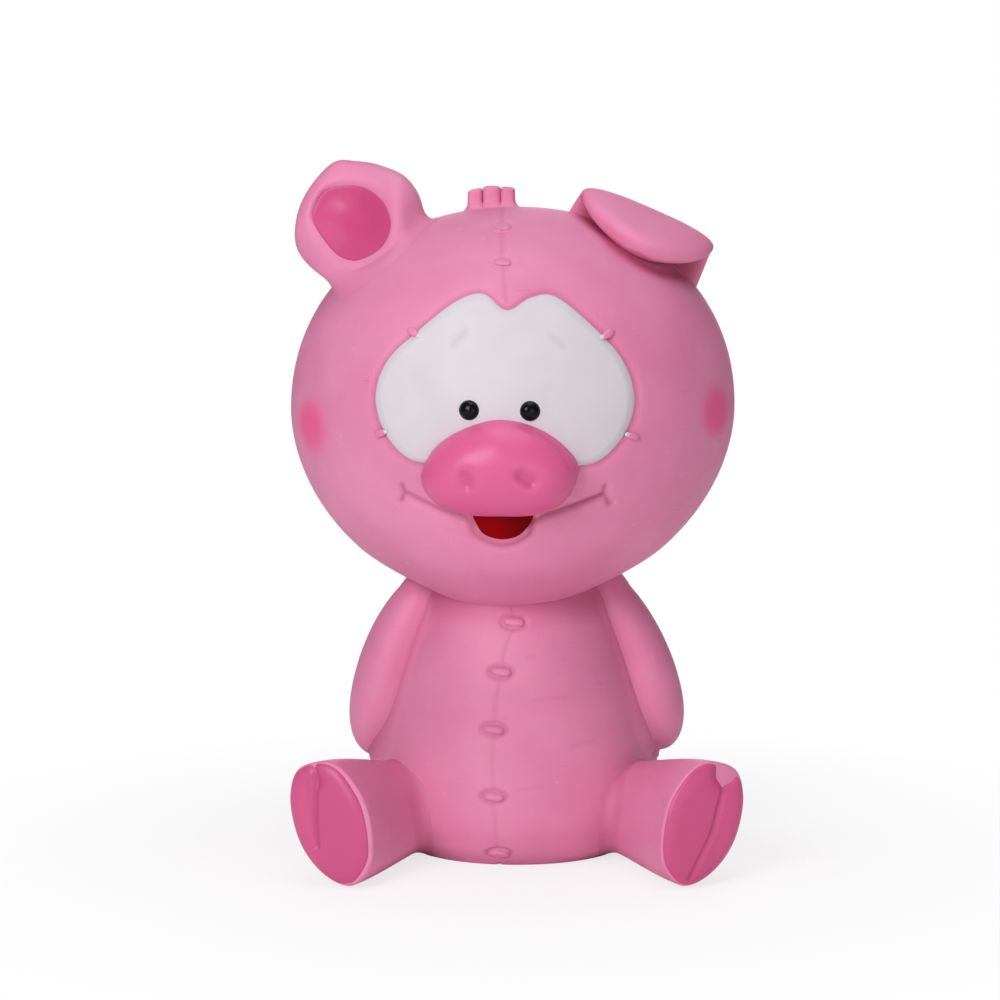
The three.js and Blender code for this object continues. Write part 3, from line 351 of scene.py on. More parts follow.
def curve(points, count, closed=False):
    """Catmull-Rom curve through the points, as count points evenly spaced in its parameter."""
    points = np.asarray(points, float)
    spans = len(points) if closed else len(points) - 1
    place = np.linspace(0.0, spans, count, endpoint=not closed)
    start = np.minimum(place.astype(int), spans - 1)
    t = (place - start)[:, None]
    steps = [start + shift for shift in (-1, 0, 1, 2)]
    wrap = [step % len(points) if closed else np.clip(step, 0, len(points) - 1) for step in steps]
    before, here, after, beyond = (points[step] for step in wrap)
    bend = 2 * before - 5 * here + 4 * after - beyond
    twist = 3 * here - before - 3 * after + beyond
    return here + 0.5 * ((after - before) * t + bend * t ** 2 + twist * t ** 3)


def line_distance(x, z, line):
    """Shortest distance from the places x, z to a line of points."""
    best = np.full(np.shape(x), np.inf)
    for (ax, az), (bx, bz) in zip(line[:-1], line[1:]):
        dx, dz = bx - ax, bz - az
        along = np.clip(((x - ax) * dx + (z - az) * dz) / (dx * dx + dz * dz), 0.0, 1.0)
        best = np.minimum(best, np.hypot(x - ax - along * dx, z - az - along * dz))
    return best


def lines_distance(x, z, lines):
    """Shortest distance from the places x, z to any of several lines."""
    return np.minimum.reduce([line_distance(x, z, line) for line in lines])


def outline_radius(outline, centre, angles):
    """Distance from the centre to a closed outline in the direction of each angle."""
    dense = curve(outline, OUTLINE_POINTS, closed=True) - np.asarray(centre)
    turn = np.arctan2(dense[:, 1], dense[:, 0])
    order = np.argsort(turn)
    return np.interp(angles, turn[order], np.hypot(*dense[order].T), period=2 * math.pi)


def beyond_outline(x, z, outline, centre):
    """How many mm outside an outline x, z lies along the ray from the centre, negative inside."""
    dx, dz = x - centre[0], z - centre[1]
    return np.hypot(dx, dz) - outline_radius(outline, centre, np.arctan2(dz, dx))


def grid(x, y, z):
    """Grid of points from its coordinates, each spread over all rows and columns."""
    return np.stack(np.broadcast_arrays(x, y, z), axis=-1)


def ring_angles(columns):
    """Angles of the columns of a grid, once round."""
    return np.arange(columns)[None, :] * 2 * math.pi / columns


def front_angles(columns, crowding):
    """Angles of columns that start at the back and stand closer together in front, at angle 0."""
    step = ring_angles(columns) - math.pi
    return step - crowding * np.sin(step)


def pole_angles(rows):
    """Angles of the rows of a grid, from one pole to the other."""
    return np.linspace(-math.pi / 2, math.pi / 2, rows)[:, None]


def plate_rows(front, behind):
    """Shares of the way from the middle to the rim over the front of a plate and back behind it, and which
    rows lie behind."""
    share = np.concatenate([np.sin(np.linspace(0, math.pi / 2, front)), np.linspace(RIM_SHARE, 0, behind)])
    return share[:, None], np.concatenate([np.zeros(front), np.ones(behind)])[:, None]


def rays(outline, centre, columns, share, over=0.0):
    """Rays from a centre to a closed outline or somewhat over it: their lengths, and the places at a share
    of the way."""
    turn = ring_angles(columns)
    edge = outline_radius(outline, centre, turn) + over
    return edge, centre[0] + share * edge * np.cos(turn), centre[1] + share * edge * np.sin(turn)


def grid_normals(points):
    """Unit normals of a closed grid by central differences, pointing outwards."""
    along = np.gradient(points, axis=0)
    around = np.roll(points, -1, axis=1) - np.roll(points, 1, axis=1)
    normal = unit(np.cross(around, along))
    outward = np.sum(normal * (points - points.mean(axis=(0, 1))))
    return normal if outward > 0 else -normal


def fillet(gap, reach):
    """Push along the normal that turns the corner to another skin into a soft fillet, from the gap to it:
    half of the reach at the corner, falling as a square to nothing at the reach. Also the shade there."""
    near = np.clip(1 - gap / reach, 0.0, 1.0) ** 2
    return near * reach / 2, near


def fillet_onto(skin, gap, reach):
    """Way along its normals that carries a skin onto the fillet to another skin, found by halving: there the
    square roots of the way and of the gap that is left add up to the square root of the reach. Also the
    shade, which is deepest in the middle of the fillet."""
    normals = grid_normals(skin)
    low = np.zeros(skin.shape[:2])
    high = low + reach
    for _ in range(FILLET_STEPS):
        middle = (low + high) / 2
        left = np.maximum(gap(skin + normals * middle[..., None]) + FILLET_SINK, 0.0)
        short = np.sqrt(middle) + np.sqrt(left) < np.sqrt(reach)
        low, high = np.where(short, middle, low), np.where(short, high, middle)
    share = np.sqrt(low / np.maximum(reach, NO_REACH))
    return normals * low[..., None], 4 * share * np.maximum(1 - share, 0)


def cloth_places(points):
    """Places on an unrolled cloth: the length along each row from its first column, and along the rows."""
    closed = np.concatenate([points, points[:, :1]], axis=1)
    across = np.cumsum(np.linalg.norm(np.diff(closed, axis=1), axis=-1), axis=1)
    u = np.concatenate([np.zeros((len(points), 1)), across], axis=1)
    u = u - u[:, -1:] / 2
    down = np.linalg.norm(np.diff(closed, axis=0), axis=-1).mean(axis=1)
    v = np.append(0, np.cumsum(down))[:, None]
    return np.stack(np.broadcast_arrays(u, v), axis=-1)


def grid_faces(rows, columns, ring):
    """Corner rows and columns of the faces: quads between rows, and fans of triangles at the two poles,
    which are the first and last rows."""
    r, c = np.meshgrid(np.arange(rows if ring else rows - 1), np.arange(columns), indexing="ij")
    corners = [(r, c), (r, c + 1), (r + 1, c + 1), (r + 1, c)]
    quads = np.stack([np.stack(corner, -1) for corner in corners], axis=2)
    if ring:
        return quads.reshape(-1, 4, 2), np.zeros((0, 3, 2), int)
    fans = np.concatenate([quads[0][:, [0, 2, 3]], quads[-1][:, [0, 1, 2]]])
    return quads[1:-1].reshape(-1, 4, 2), fans


def volume_sign(points):
    """Positive if the faces of a grid, taken in the order of its columns and rows, face outwards."""
    beside = np.roll(points, -1, axis=1)
    middle = points.mean(axis=(0, 1))
    normal = np.cross(beside[1:] - points[:-1], points[1:] - beside[:-1])
    return np.sum(normal * ((points[:-1] + beside[1:]) / 2 - middle))


def add_grid(name, points, material, values=None, ring=False):
    """Mesh of a grid of points in mm, joined round its columns; the first and last rows are poles, or with
    ring the last row joins the first. values are named point values for the material, and the map "cloth"
    holds the unrolled places in metres."""
    rows, columns = points.shape[:2]
    index = np.arange(rows * columns).reshape(rows, columns)
    if not ring:
        index[0], index[-1] = index[0, 0], index[-1, 0]
    used, place = np.unique(index, return_inverse=True)
    index = place.reshape(rows, columns)
    vertices = points.reshape(-1, 3)[used]
    cloth = cloth_places(points)
    faces, places = [], []
    inward = volume_sign(points) < 0
    for corners in grid_faces(rows, columns, ring):
        corners = corners[:, ::-1] if inward else corners
        row, column = corners[..., 0], corners[..., 1]
        faces += index[row % rows, column % columns].tolist()
        places.append(cloth[row % rows, column].reshape(-1, 2))
    mesh = bpy.data.meshes.new(name)
    mesh.from_pydata((vertices * MM).tolist(), [], faces)
    layer = mesh.uv_layers.new(name="cloth")
    layer.data.foreach_set("uv", (np.concatenate(places) * MM).ravel().astype(np.float32))
    for key, value in (values or {}).items():
        flat = np.broadcast_to(value, (rows, columns)).reshape(-1)[used]
        mesh.attributes.new(key, "FLOAT", "POINT").data.foreach_set("value", flat.astype(np.float32))
    mesh.shade_smooth()
    mesh.materials.append(material)
    obj = bpy.data.objects.new(name, mesh)
    bpy.context.scene.collection.objects.link(obj)
    return obj


def rotation(axis, angle):
    """Matrix that turns places about a coordinate axis, numbered from 0."""
    first, second = (axis + 1) % 3, (axis + 2) % 3
    turn = np.eye(3)
    turn[first, first] = turn[second, second] = math.cos(angle)
    turn[second, first] = math.sin(angle)
    turn[first, second] = -math.sin(angle)
    return turn


def head_to_row(points):
    """From the head's own frame, turned about Z, to the row frame."""
    return points @ rotation(2, HEAD_TURN).T + HEAD_CENTRE


def row_to_head(points):
    """From the row frame to the head's own frame."""
    return (points - HEAD_CENTRE) @ rotation(2, HEAD_TURN)


def head_ring(sizes, z):
    """Half width and half depth of the head at a height z: superellipses above and below the middle."""
    t = np.clip(z / (sizes.head_height / 2), -1.0, 1.0)
    power = np.where(t > 0, CROWN_POWER, CHIN_POWER)
    tuck = 1 - CHIN_TUCK * smoothstep(-t, *CHIN_TUCK_SPAN)
    ring = sizes.head_width / 2 * tuck * (1 - np.abs(t) ** power) ** (1 / power)
    return ring, ring * lerp(1.0, sizes.head_depth / sizes.head_width, smoothstep(t, *CHIN_SPAN))


def head_face(sizes, x, z):
    """How far forward, in -Y, the skin of the head lies at x, z."""
    wide, deep = head_ring(sizes, z)
    return -deep * rounded((x - HEAD_SLANT * z) / np.maximum(wide, NO_WIDTH), 2)


def head_gap(sizes, points):
    """Distance of row frame points from the head's skin: how far they lie beyond its superellipse."""
    x, y, z = np.moveaxis(row_to_head(points), -1, 0)
    x = x - HEAD_SLANT * z
    across = np.hypot(x / (sizes.head_width / 2), y / (sizes.head_depth / 2))
    power = np.where(z > 0, CROWN_POWER, CHIN_POWER)
    scale = (across ** power + np.abs(z / (sizes.head_height / 2)) ** power) ** (1 / power)
    return np.sqrt(x * x + y * y + z * z) * (1 - 1 / np.maximum(scale, LEAST_SCALE))


def body_flatness(z):
    """Depth of the body for its width at a height z."""
    return lerp(HIP_FLATNESS, 1.0, smoothstep(z, HIP_HEIGHT, NECK_HEIGHT))


def body_ring(sizes, z):
    """Half width and half depth of the body at a height z."""
    dense = curve(BODY_PROFILE, PROFILE_POINTS)
    scale = sizes.body_width / 2 / dense[:, 0].max()
    wide = np.interp(z, dense[:, 1], dense[:, 0]) * scale
    return wide, wide * body_flatness(z)


def body_face(sizes, x, z):
    """How far forward, in -Y, the skin of the body lies at x, z."""
    wide, deep = body_ring(sizes, z)
    return -deep * rounded(x / wide, 2)


def body_gap(sizes, points):
    """Distance of row frame points from the body's skin, measured level."""
    x, y, z = np.moveaxis(points - AXIS, -1, 0)
    wide, deep = body_ring(sizes, z)
    return (np.hypot(x / wide, y / deep) - 1) * deep


def arm_gap(sizes, points, side):
    """Distance of row frame points from an arm's skin."""
    x, y, z = np.moveaxis(points - AXIS, -1, 0)
    t = np.clip((z - ARM_MIDDLE[side]) / ARM_HALF, -1.0, 1.0)
    middle, radius = arm_ring(sizes, t, side)
    level = np.hypot(x - side * middle, (y - ARM_BACK) / ARM_FLATNESS) - radius
    above = np.maximum(np.abs(z - ARM_MIDDLE[side]) - ARM_HALF, 0.0)
    return np.where(above > 0, np.hypot(np.maximum(level, 0), above), level)


def stitch_ring(x, z, places, half, radius):
    """Depth of the oval groove pressed in round each moulded stitch."""
    depth = 0.0
    for sx, sz in places:
        oval = np.hypot((x - sx) / (half + RING_OUT[0]), (z - sz) / (radius + RING_OUT[1]))
        depth = depth + bell(oval, *RING_CUT)
    return depth


def body_stitch(sizes):
    """Half length and radius of a stitch on the body."""
    return sizes.stitch_length / 2, sizes.stitch_radius


def crown_stitch(sizes):
    """Half length and radius of a stitch on the crown, which is finer than those on the body."""
    return CROWN_STITCH_LENGTH * sizes.stitch_length, CROWN_STITCH_RADIUS * sizes.stitch_radius


def head_relief(sizes, x, z):
    """Depth that the sculpted lines take out of the face, and how much painted shade each place gets in the
    creases of those lines and under the folded ear.
    """
    smile = line_distance(x, z, curve(SMILE, LINE_POINTS))
    tick = lines_distance(x, z, TICKS)
    seam = line_distance(x, z, CROWN_SEAM)
    # distance to the line of painted shadow under the folded ear
    flap = line_distance(x, z, curve(FLAP_SHADE, FLAP_SHADE_POINTS))
    patch = beyond_outline(x, z, PATCH_OUTLINE, PATCH_CENTRE)
    mouth = beyond_outline(x, z, MOUTH_OUTLINE, MOUTH_CENTRE)
    cut = sizes.smile_depth * np.maximum(bell(smile, *SMILE_CUT), bell(tick, *TICK_CUT))
    cut = cut + bell(seam, CROWN_SEAM_CUT * sizes.seam_depth, sizes.seam_width)
    cut = cut + bell(patch, *PATCH_CUT)
    cut = cut + sizes.mouth_depth * smoothstep(-mouth, *MOUTH_EDGE)
    cut = cut - bell(mouth, *LIP_RISE)
    cut = cut + CROWN_RING_CUT * stitch_ring(x, z, CROWN_STITCHES, *crown_stitch(sizes))
    smile_shade = lerp(*SMILE_SHADES, smoothstep(x, *SMILE_SHADE_WAY))
    crease_shade = np.maximum.reduce([
        bell(smile, smile_shade, SMILE_SHADE_WIDTH), bell(tick, *TICK_SHADE), bell(patch, *PATCH_SHADE),
        bell(flap, *FLAP_SHADOW_BELL), bell(seam, *SEAM_SHADE)])
    return cut, crease_shade


def head_skin(sizes):
    """Head: z is a power of the sine of a row angle from chin to crown, and each row is a flattened ring with
    its columns closer together in front. Sculpted lines push the skin in, the sag of the chin pushes it
    out."""
    rows, columns = HEAD_GRID
    t = power_of(np.sin(pole_angles(rows)), HEAD_ROW_POWER)
    around = front_angles(columns, HEAD_CROWDING)
    z = t * sizes.head_height / 2
    wide, deep = head_ring(sizes, z)
    skin = grid(wide * np.sin(around) + HEAD_SLANT * z, -deep * np.cos(around), z)
    cut, crease_shade = head_relief(sizes, skin[..., 0], skin[..., 2])
    front = smoothstep(np.cos(around), *HEAD_FRONT)
    chin = bell(skin[..., 0], *CHIN_DROP) * smoothstep(-t, *CHIN_DROP_SPAN)
    chin = chin * smoothstep(np.cos(around), *CHIN_DROP_FRONT)
    skin = skin + grid_normals(skin) * (chin - cut * front)[..., None]
    blush = np.zeros(skin.shape[:2])
    for place in BLUSH:
        away = np.linalg.norm((skin - np.array(place)) / BLUSH_SIZE, axis=-1)
        blush = np.maximum(blush, 1 - smoothstep(away, BLUSH_CORE, 1.0))
    return head_to_row(skin), {"blush": blush, "crease_shade": crease_shade * front}


def body_profile(hole):
    """Half section of the body from the middle of its base over the rim, up the pear and into the head."""
    seat = [(hole * way, PLUG_DEPTH) for way in SEAT_WAYS] + [(hole, PLUG_DEPTH / 2), (hole, 0)]
    return np.vstack([seat, BASE_RIM, curve(BODY_PROFILE, PEAR_POINTS), NECK_PROFILE])


def body_skin(sizes):
    """Body: one profile turned about the axis and flattened in depth. The front seam, the rings round its
    stitches and some scratches push the skin in along its normal; fillets at the arms push it out."""
    rows, columns = BODY_GRID
    hole = (HOUSING_HIGH - HOUSING_LOW)[0] / 2 + PLUG_GAP
    profile = body_profile(hole)
    length = np.append(0, np.cumsum(np.hypot(*np.diff(profile, axis=0).T)))
    place = np.linspace(0, length[-1], rows)
    radius = np.interp(place, length, profile[:, 0])[:, None]
    height = np.interp(place, length, profile[:, 1])[:, None]
    around = front_angles(columns, BODY_CROWDING)
    outer = smoothstep(radius - hole, *BASE_BLEND)
    squash = lerp(1.0, body_flatness(height), outer)
    skin = grid(radius * np.sin(around), -squash * radius * np.cos(around), height)
    x, z = skin[..., 0], skin[..., 2]
    seam = line_distance(x, z, curve(BODY_SEAM, LINE_POINTS))
    rings = stitch_ring(x, z, BODY_STITCHES, *body_stitch(sizes))
    scratch = lines_distance(x, z, SCRATCHES)
    cut = bell(seam, sizes.seam_depth, sizes.seam_width) + rings + bell(scratch, *SCRATCH_CUT)
    front = smoothstep(np.cos(around), *BODY_FRONT) * outer
    gap = np.minimum.reduce([arm_gap(sizes, skin + AXIS, side) for side in SIDES])
    push, arm_shade = fillet(gap, arm_fillet(z))
    lines = [bell(seam, *BODY_SEAM_SHADE), RING_SHADE * rings, bell(scratch, *SCRATCH_SHADE)]
    lines = np.maximum.reduce(lines) * front
    # painted shade in the seam, stitch rings and scratch grooves, under the chin and beside the arms
    crease_shade = np.maximum.reduce([lines, NECK_SHADE * smoothstep(z, *NECK_SHADE_SPAN), ARM_SHADE * arm_shade])
    skin = skin + grid_normals(skin) * (push * outer - cut * front)[..., None]
    skin[..., 2] = np.maximum(skin[..., 2], 0.0)
    return skin + AXIS, {"crease_shade": crease_shade, "blush": 0.0}


def bar_on(face, place, angle, half, radius):
    """Moulded stitch: a rounded bar whose rows run along a line on a face and whose section swells as a
    superellipse towards the middle; half of it is sunk in the curved face."""
    rows, columns = STITCH_GRID
    along = np.sin(pole_angles(rows))
    thick = radius * rounded(np.abs(along), STITCH_POWER)
    turn = ring_angles(columns)
    side = thick * np.cos(turn)
    x = place[0] + along * half * math.cos(angle) - side * math.sin(angle)
    z = place[1] + along * half * math.sin(angle) + side * math.cos(angle)
    return grid(x, face(x, z) + STITCH_SINK * radius - STITCH_RISE * thick * np.sin(turn), z)


def patch_skin(sizes):
    """Eye patch: rays from its middle to the heart-topped outline, laid on the head and raised by a height
    that rounds off to nothing at the rim; the rows then run back to the middle below the skin."""
    front, behind, columns = PATCH_GRID
    share, under = plate_rows(front, behind)
    edge, x, z = rays(PATCH_OUTLINE, PATCH_CENTRE, columns, share)
    outside = 1 - np.clip((1 - share) * edge / PATCH_ROUND, 0, 1)
    rise = sizes.patch_rise * rounded(outside, 2) - PATCH_SINK * outside
    y = head_face(sizes, x, z) - np.where(under > 0, -PATCH_BACK, rise)
    # painted shade where the brow marks lie, in grey on the white paint
    brow_shade = bell(lines_distance(x, z, BROWS), *BROW_SHADE)
    return head_to_row(grid(x, y, z)), {"tone_and_shade": brow_shade * (1 - under)}


def eye_skin(sizes, place):
    """Eye: a bead dome turned about the line of sight, with a thin skirt where paint pools at its foot."""
    rows, columns = EYE_GRID
    profile = curve(EYE_PROFILE, rows)
    turn = ring_angles(columns)
    x = place[0] + profile[:, :1] * np.cos(turn)
    z = place[1] + profile[:, :1] * np.sin(turn)
    return head_to_row(grid(x, head_face(sizes, x, z) - sizes.patch_rise + profile[:, 1:], z))


def snout_skin(sizes):
    """Snout: rays from its middle to a bean outline; the depth is a superellipse dome in front and runs on
    into the head behind. Two soft nostrils are pressed in, and a groove sets off the upper right."""
    rows, columns = SNOUT_GRID
    row = np.linspace(0, math.pi, rows)[:, None]
    share = np.sin(row) ** SNOUT_EDGE_POWER
    _, x, z = rays(SNOUT_OUTLINE, SNOUT_CENTRE, columns, share)
    front = row < math.pi / 2
    nostril = bell(lines_distance(x, z, NOSTRILS), *NOSTRIL_BELL) * front
    groove = bell(share, *MUZZLE_GROOVE) * bell(ring_angles(columns), *MUZZLE_CORNER) * front
    middle = head_face(sizes, *SNOUT_CENTRE) + SNOUT_BACK
    dome = sizes.snout_depth * power_of(np.cos(row), SNOUT_DOME_POWER)
    y = middle - dome + NOSTRIL_DEPTH * nostril + groove
    # nostrils and groove darkened with painted shade
    return head_to_row(grid(x, y, z)), {"tone_and_shade": np.maximum(NOSTRIL_SHADE * nostril, MUZZLE_SHADE * groove)}


def mouth_skin(sizes):
    """Mouth: a half-moon of rays from its middle, a shallow dome in the recess, closed behind."""
    front, behind, columns = MOUTH_GRID
    share, under = plate_rows(front, behind)
    _, x, z = rays(MOUTH_OUTLINE, MOUTH_CENTRE, columns, share, MOUTH_OVER)
    bottom = head_face(sizes, x, z) + sizes.mouth_depth - MOUTH_LIFT
    y = bottom + np.where(under > 0, MOUTH_BACK, -MOUTH_DOME * (1 - share ** 2))
    return head_to_row(grid(x, y, z)), {"tone_and_shade": smoothstep(x, *MOUTH_SHADE) * (1 - under)}


def tuft_skin(sizes, place, half, top, slant):
    """Lock of hair: a rounded box section that rises from the crown over a fillet to a flat top."""
    side_rows, top_rows, columns = LOCK_GRID
    close = np.linspace(LOCK_CLOSE, math.pi / 2, top_rows)
    sides = np.linspace(-LOCK_ROOT, top - LOCK_ROUND, side_rows)
    rise = np.append(sides, top - LOCK_ROUND + LOCK_ROUND * np.sin(close))[:, None]
    share = np.append(np.ones(side_rows), np.sqrt(np.maximum(np.cos(close), 0)))[:, None]
    share[0] = 0
    turn = ring_angles(columns)
    x = place + half * share * power_of(np.cos(turn), LOCK_POWER)
    y = LOCK_DEPTH * share * power_of(np.sin(turn), LOCK_POWER)
    lift = slant * (x - place) * smoothstep(rise, 0.0, top)
    skin = head_to_row(grid(x, y, sizes.head_height / 2 + rise + lift))
    push, _ = fillet_onto(skin, lambda points: head_gap(sizes, points), TUFT_FILLET)
    return skin + push


def arm_ring(sizes, t, side):
    """Sideways place of an arm's middle and its radius at a share t from -1, the hand, to 1, the shoulder."""
    wide, _ = body_ring(sizes, ARM_MIDDLE[side] + ARM_HALF * t)
    up = (t + 1) / 2
    middle = wide + lerp(*ARM_OUT[side], up) + ARM_BOW * np.sin(math.pi * up)
    close = rounded(np.abs(t), np.where(t < 0, HAND_POWER, SHOULDER_POWER))
    return middle, lerp(HAND_RADIUS, SHOULDER_RADIUS, up) * close


def arm_fillet(z):
    """Reach of the fillet beside an arm at a height: narrow at the shoulder and wide at the hand."""
    return lerp(HAND_FILLET, SHOULDER_FILLET, smoothstep(z, ARM_MIDDLE[-1] - ARM_HALF, ARM_MIDDLE[-1]))


def arm_skin(sizes, side):
    """Arm: a capsule of flattened rings that tapers upwards and lies along the side of the body, bowed
    outwards by a sine, with a fillet to the body."""
    rows, columns = ARM_GRID
    t = np.sin(pole_angles(rows))
    turn = ring_angles(columns)
    middle, radius = arm_ring(sizes, t, side)
    x = side * middle + radius * np.cos(turn)
    y = ARM_BACK + ARM_FLATNESS * radius * np.sin(turn)
    skin = grid(x, y, ARM_MIDDLE[side] + ARM_HALF * t) + AXIS
    push, shade = fillet(body_gap(sizes, skin), arm_fillet(skin[..., 2]))
    push = push * smoothstep(-side * np.cos(turn), *ARM_INSIDE)
    return skin + grid_normals(skin) * push[..., None], {"crease_shade": ARM_SHADE * shade}


def leg_to_row(points, side):
    """From a leg's own frame, whose -Y points along the leg, to the row frame: roll, then pitch, then yaw."""
    turn = rotation(2, side * LEG_YAW) @ rotation(0, LEG_PITCH) @ rotation(1, side * LEG_ROLL)
    return points @ turn.T + HIP * (side, 1, 1) + AXIS


def leg_radius(sizes, turn, along):
    """Radius of a leg in a direction, outward at 0 and up at a quarter turn: round at the hip, egg-shaped
    at the foot."""
    foot = outline_radius(FOOT_OUTLINE, (0, 0), turn)
    upright = np.where(np.sin(turn) > 0, HIP_TOP, HIP_BOTTOM)
    hip = np.hypot(HIP_HALF * np.cos(turn), upright * np.sin(turn))
    return lerp(hip, foot, smoothstep(along, 0, sizes.leg_length))


def leg_skin(sizes, side):
    """Leg: rings along -Y that change from the round hip to the egg-shaped foot and turn over a small rim to
    the end that carries the sole, with a wide fillet to the body."""
    end = sizes.leg_length - FOOT_RIM
    root = np.linspace(-ROOT_DEPTH, 0, ROOT_ROWS)
    along = np.concatenate([root, np.linspace(0, end, LEG_ROWS)[1:], end + RIM_STEPS])[:, None]
    opening = np.sqrt(np.linspace(0, 1, ROOT_ROWS))
    share = np.concatenate([opening, np.ones(LEG_ROWS - 1), RIM_SHARES])[:, None]
    turn = ring_angles(LEG_COLUMNS)
    radius = share * leg_radius(sizes, turn, along)
    skin = leg_to_row(grid(side * radius * np.cos(turn), -along, radius * np.sin(turn)), side)
    reach = LEG_FILLET * smoothstep(end - along, 0, LEG_FILLET_END)
    reach = reach * (1 - LEG_TOP_EASE * smoothstep(np.sin(turn), *LEG_TOP_SPAN))
    reach = reach * smoothstep(skin[..., 2], *LEG_FILLET_FLOOR)
    reach = reach * smoothstep(body_gap(sizes, skin), *LEG_FILLET_INSIDE)
    push, shade = fillet_onto(skin, lambda points: body_gap(sizes, points), reach)
    skin = skin + push
    skin[..., 2] = np.maximum(skin[..., 2], 0.0)
    return skin, {"crease_shade": LEG_SHADE * shade}


def sole_skin(sizes, side):
    """Sole: rays to the egg-shaped outline of the foot, domed into two toes that meet in a cleft, closed
    behind. The cleft starts in a notch at the upper rim."""
    front, behind, columns = SOLE_GRID
    share, under = plate_rows(front, behind)
    inset = SOLE_INSET + SOLE_INSETS[side] * smoothstep(-np.cos(ring_angles(columns)), *SOLE_INSIDE)
    _, out, z = rays(FOOT_OUTLINE, (0, 0), columns, share, -inset)
    gap = line_distance(out, z, curve(CLEFTS[side], CLEFT_POINTS))
    (notch_out, notch_up), width, depth = NOTCHES[side]
    notch = bell(np.hypot(out - notch_out, z - notch_up), 1.0, width)
    groove = bell(gap, *CLEFT_CUT) * smoothstep(1 - share, 0.0, CLEFT_END) + depth * notch
    rise = SOLE_DOME * rounded(share, SOLE_POWER) - groove
    y = SOLE_SINK - sizes.leg_length - np.where(under > 0, -SOLE_BACK, rise)
    # the soles' own deeper paint, painted light on the outer toe and painted shade in the cleft and notch
    paint = SOLE_MARK - TOE_PAINTED_LIGHT * smoothstep(out, *TOE_SPAN) + bell(gap, *CLEFT_SHADE) + NOTCH_SHADE * notch
    return leg_to_row(grid(side * out, y, z), side), {"tone_and_shade": np.clip(paint, 0, 1) * (1 - under)}


def ear_lean(x, z):
    """How far forward the upright ear leans at a place: it runs into the front of the head at its foot."""
    toward = (x - EAR_CENTRE[0]) * EAR_LEAN_WAY[0] + (z - EAR_CENTRE[1]) * EAR_LEAN_WAY[1]
    ease = 1 - EAR_INNER_EASE * smoothstep(x, *EAR_INNER_SPAN)
    return EAR_LEAN * smoothstep(toward, *EAR_LEAN_SPAN) * ease


def ear_rows(section, rows, columns):
    """Grid between a lining outline and an ear outline: a section gives, for each row, the share of the way
    to the lining, the share from there to the rim and the place in depth."""
    inner, outer, depth = (part[:, None] for part in curve(section, rows).T)
    turn = ring_angles(columns)
    lining = outline_radius(LINING_OUTLINE, EAR_CENTRE, turn)
    rim = outline_radius(EAR_OUTLINE, EAR_CENTRE, turn)
    far = np.clip(inner, 0, 1) * lining + np.clip(outer, 0, 1) * (rim - lining)
    x = EAR_CENTRE[0] + far * np.cos(turn)
    z = EAR_CENTRE[1] + far * np.sin(turn)
    return grid(x, (EAR_LOW + EAR_HIGH)[1] / 2 + depth - ear_lean(x, z), z)


def ear_dish(sizes):
    """Section of the hollow of the upright ear, and half the depth of the ear."""
    half = (EAR_HIGH - EAR_LOW)[1] / 2
    return [(way, 0, share * sizes.ear_dish - half) for way, share in DISH_SHARES], half


def ear_skin(sizes):
    """Upright ear: a dish in front, a broad round rim and a full back between two outlines, with a fillet
    to the head."""
    dish, half = ear_dish(sizes)
    rim = [(1, way, depth - half) for way, depth in RIM_FRONT] + [(1, 1, 0)]
    rim += [(1, way, half - depth) for way, depth in RIM_BACK]
    back = [(way, 0, half + BACK_SWELL) for way in BACK_WAYS]
    skin = ear_rows(dish + rim + back, *EAR_GRID)
    share = np.linspace(0, 1, EAR_GRID[0])[:, None]
    reach = EAR_FILLET * smoothstep(share, *EAR_FILLET_SPAN)
    reach = reach * (1 - EAR_BACK_EASE * smoothstep(share, *EAR_BACK_SPAN))
    push, shade = fillet_onto(skin, lambda points: head_gap(sizes, points), reach)
    return skin + push, {"crease_shade": EAR_SHADE * shade}


def lining_skin(sizes):
    """Lining of the upright ear: a thin painted dish that follows the hollow and closes behind it."""
    dish, half = ear_dish(sizes)
    front = [(way, 0, depth - PAINT_RISE) for way, _, depth in dish]
    edge = [(way, 0, depth - half) for way, depth in LINING_EDGE]
    back = [(way, 0, sizes.ear_dish - half + depth) for way, depth in LINING_BACK]
    return ear_rows(front + edge + back, *LINING_GRID)


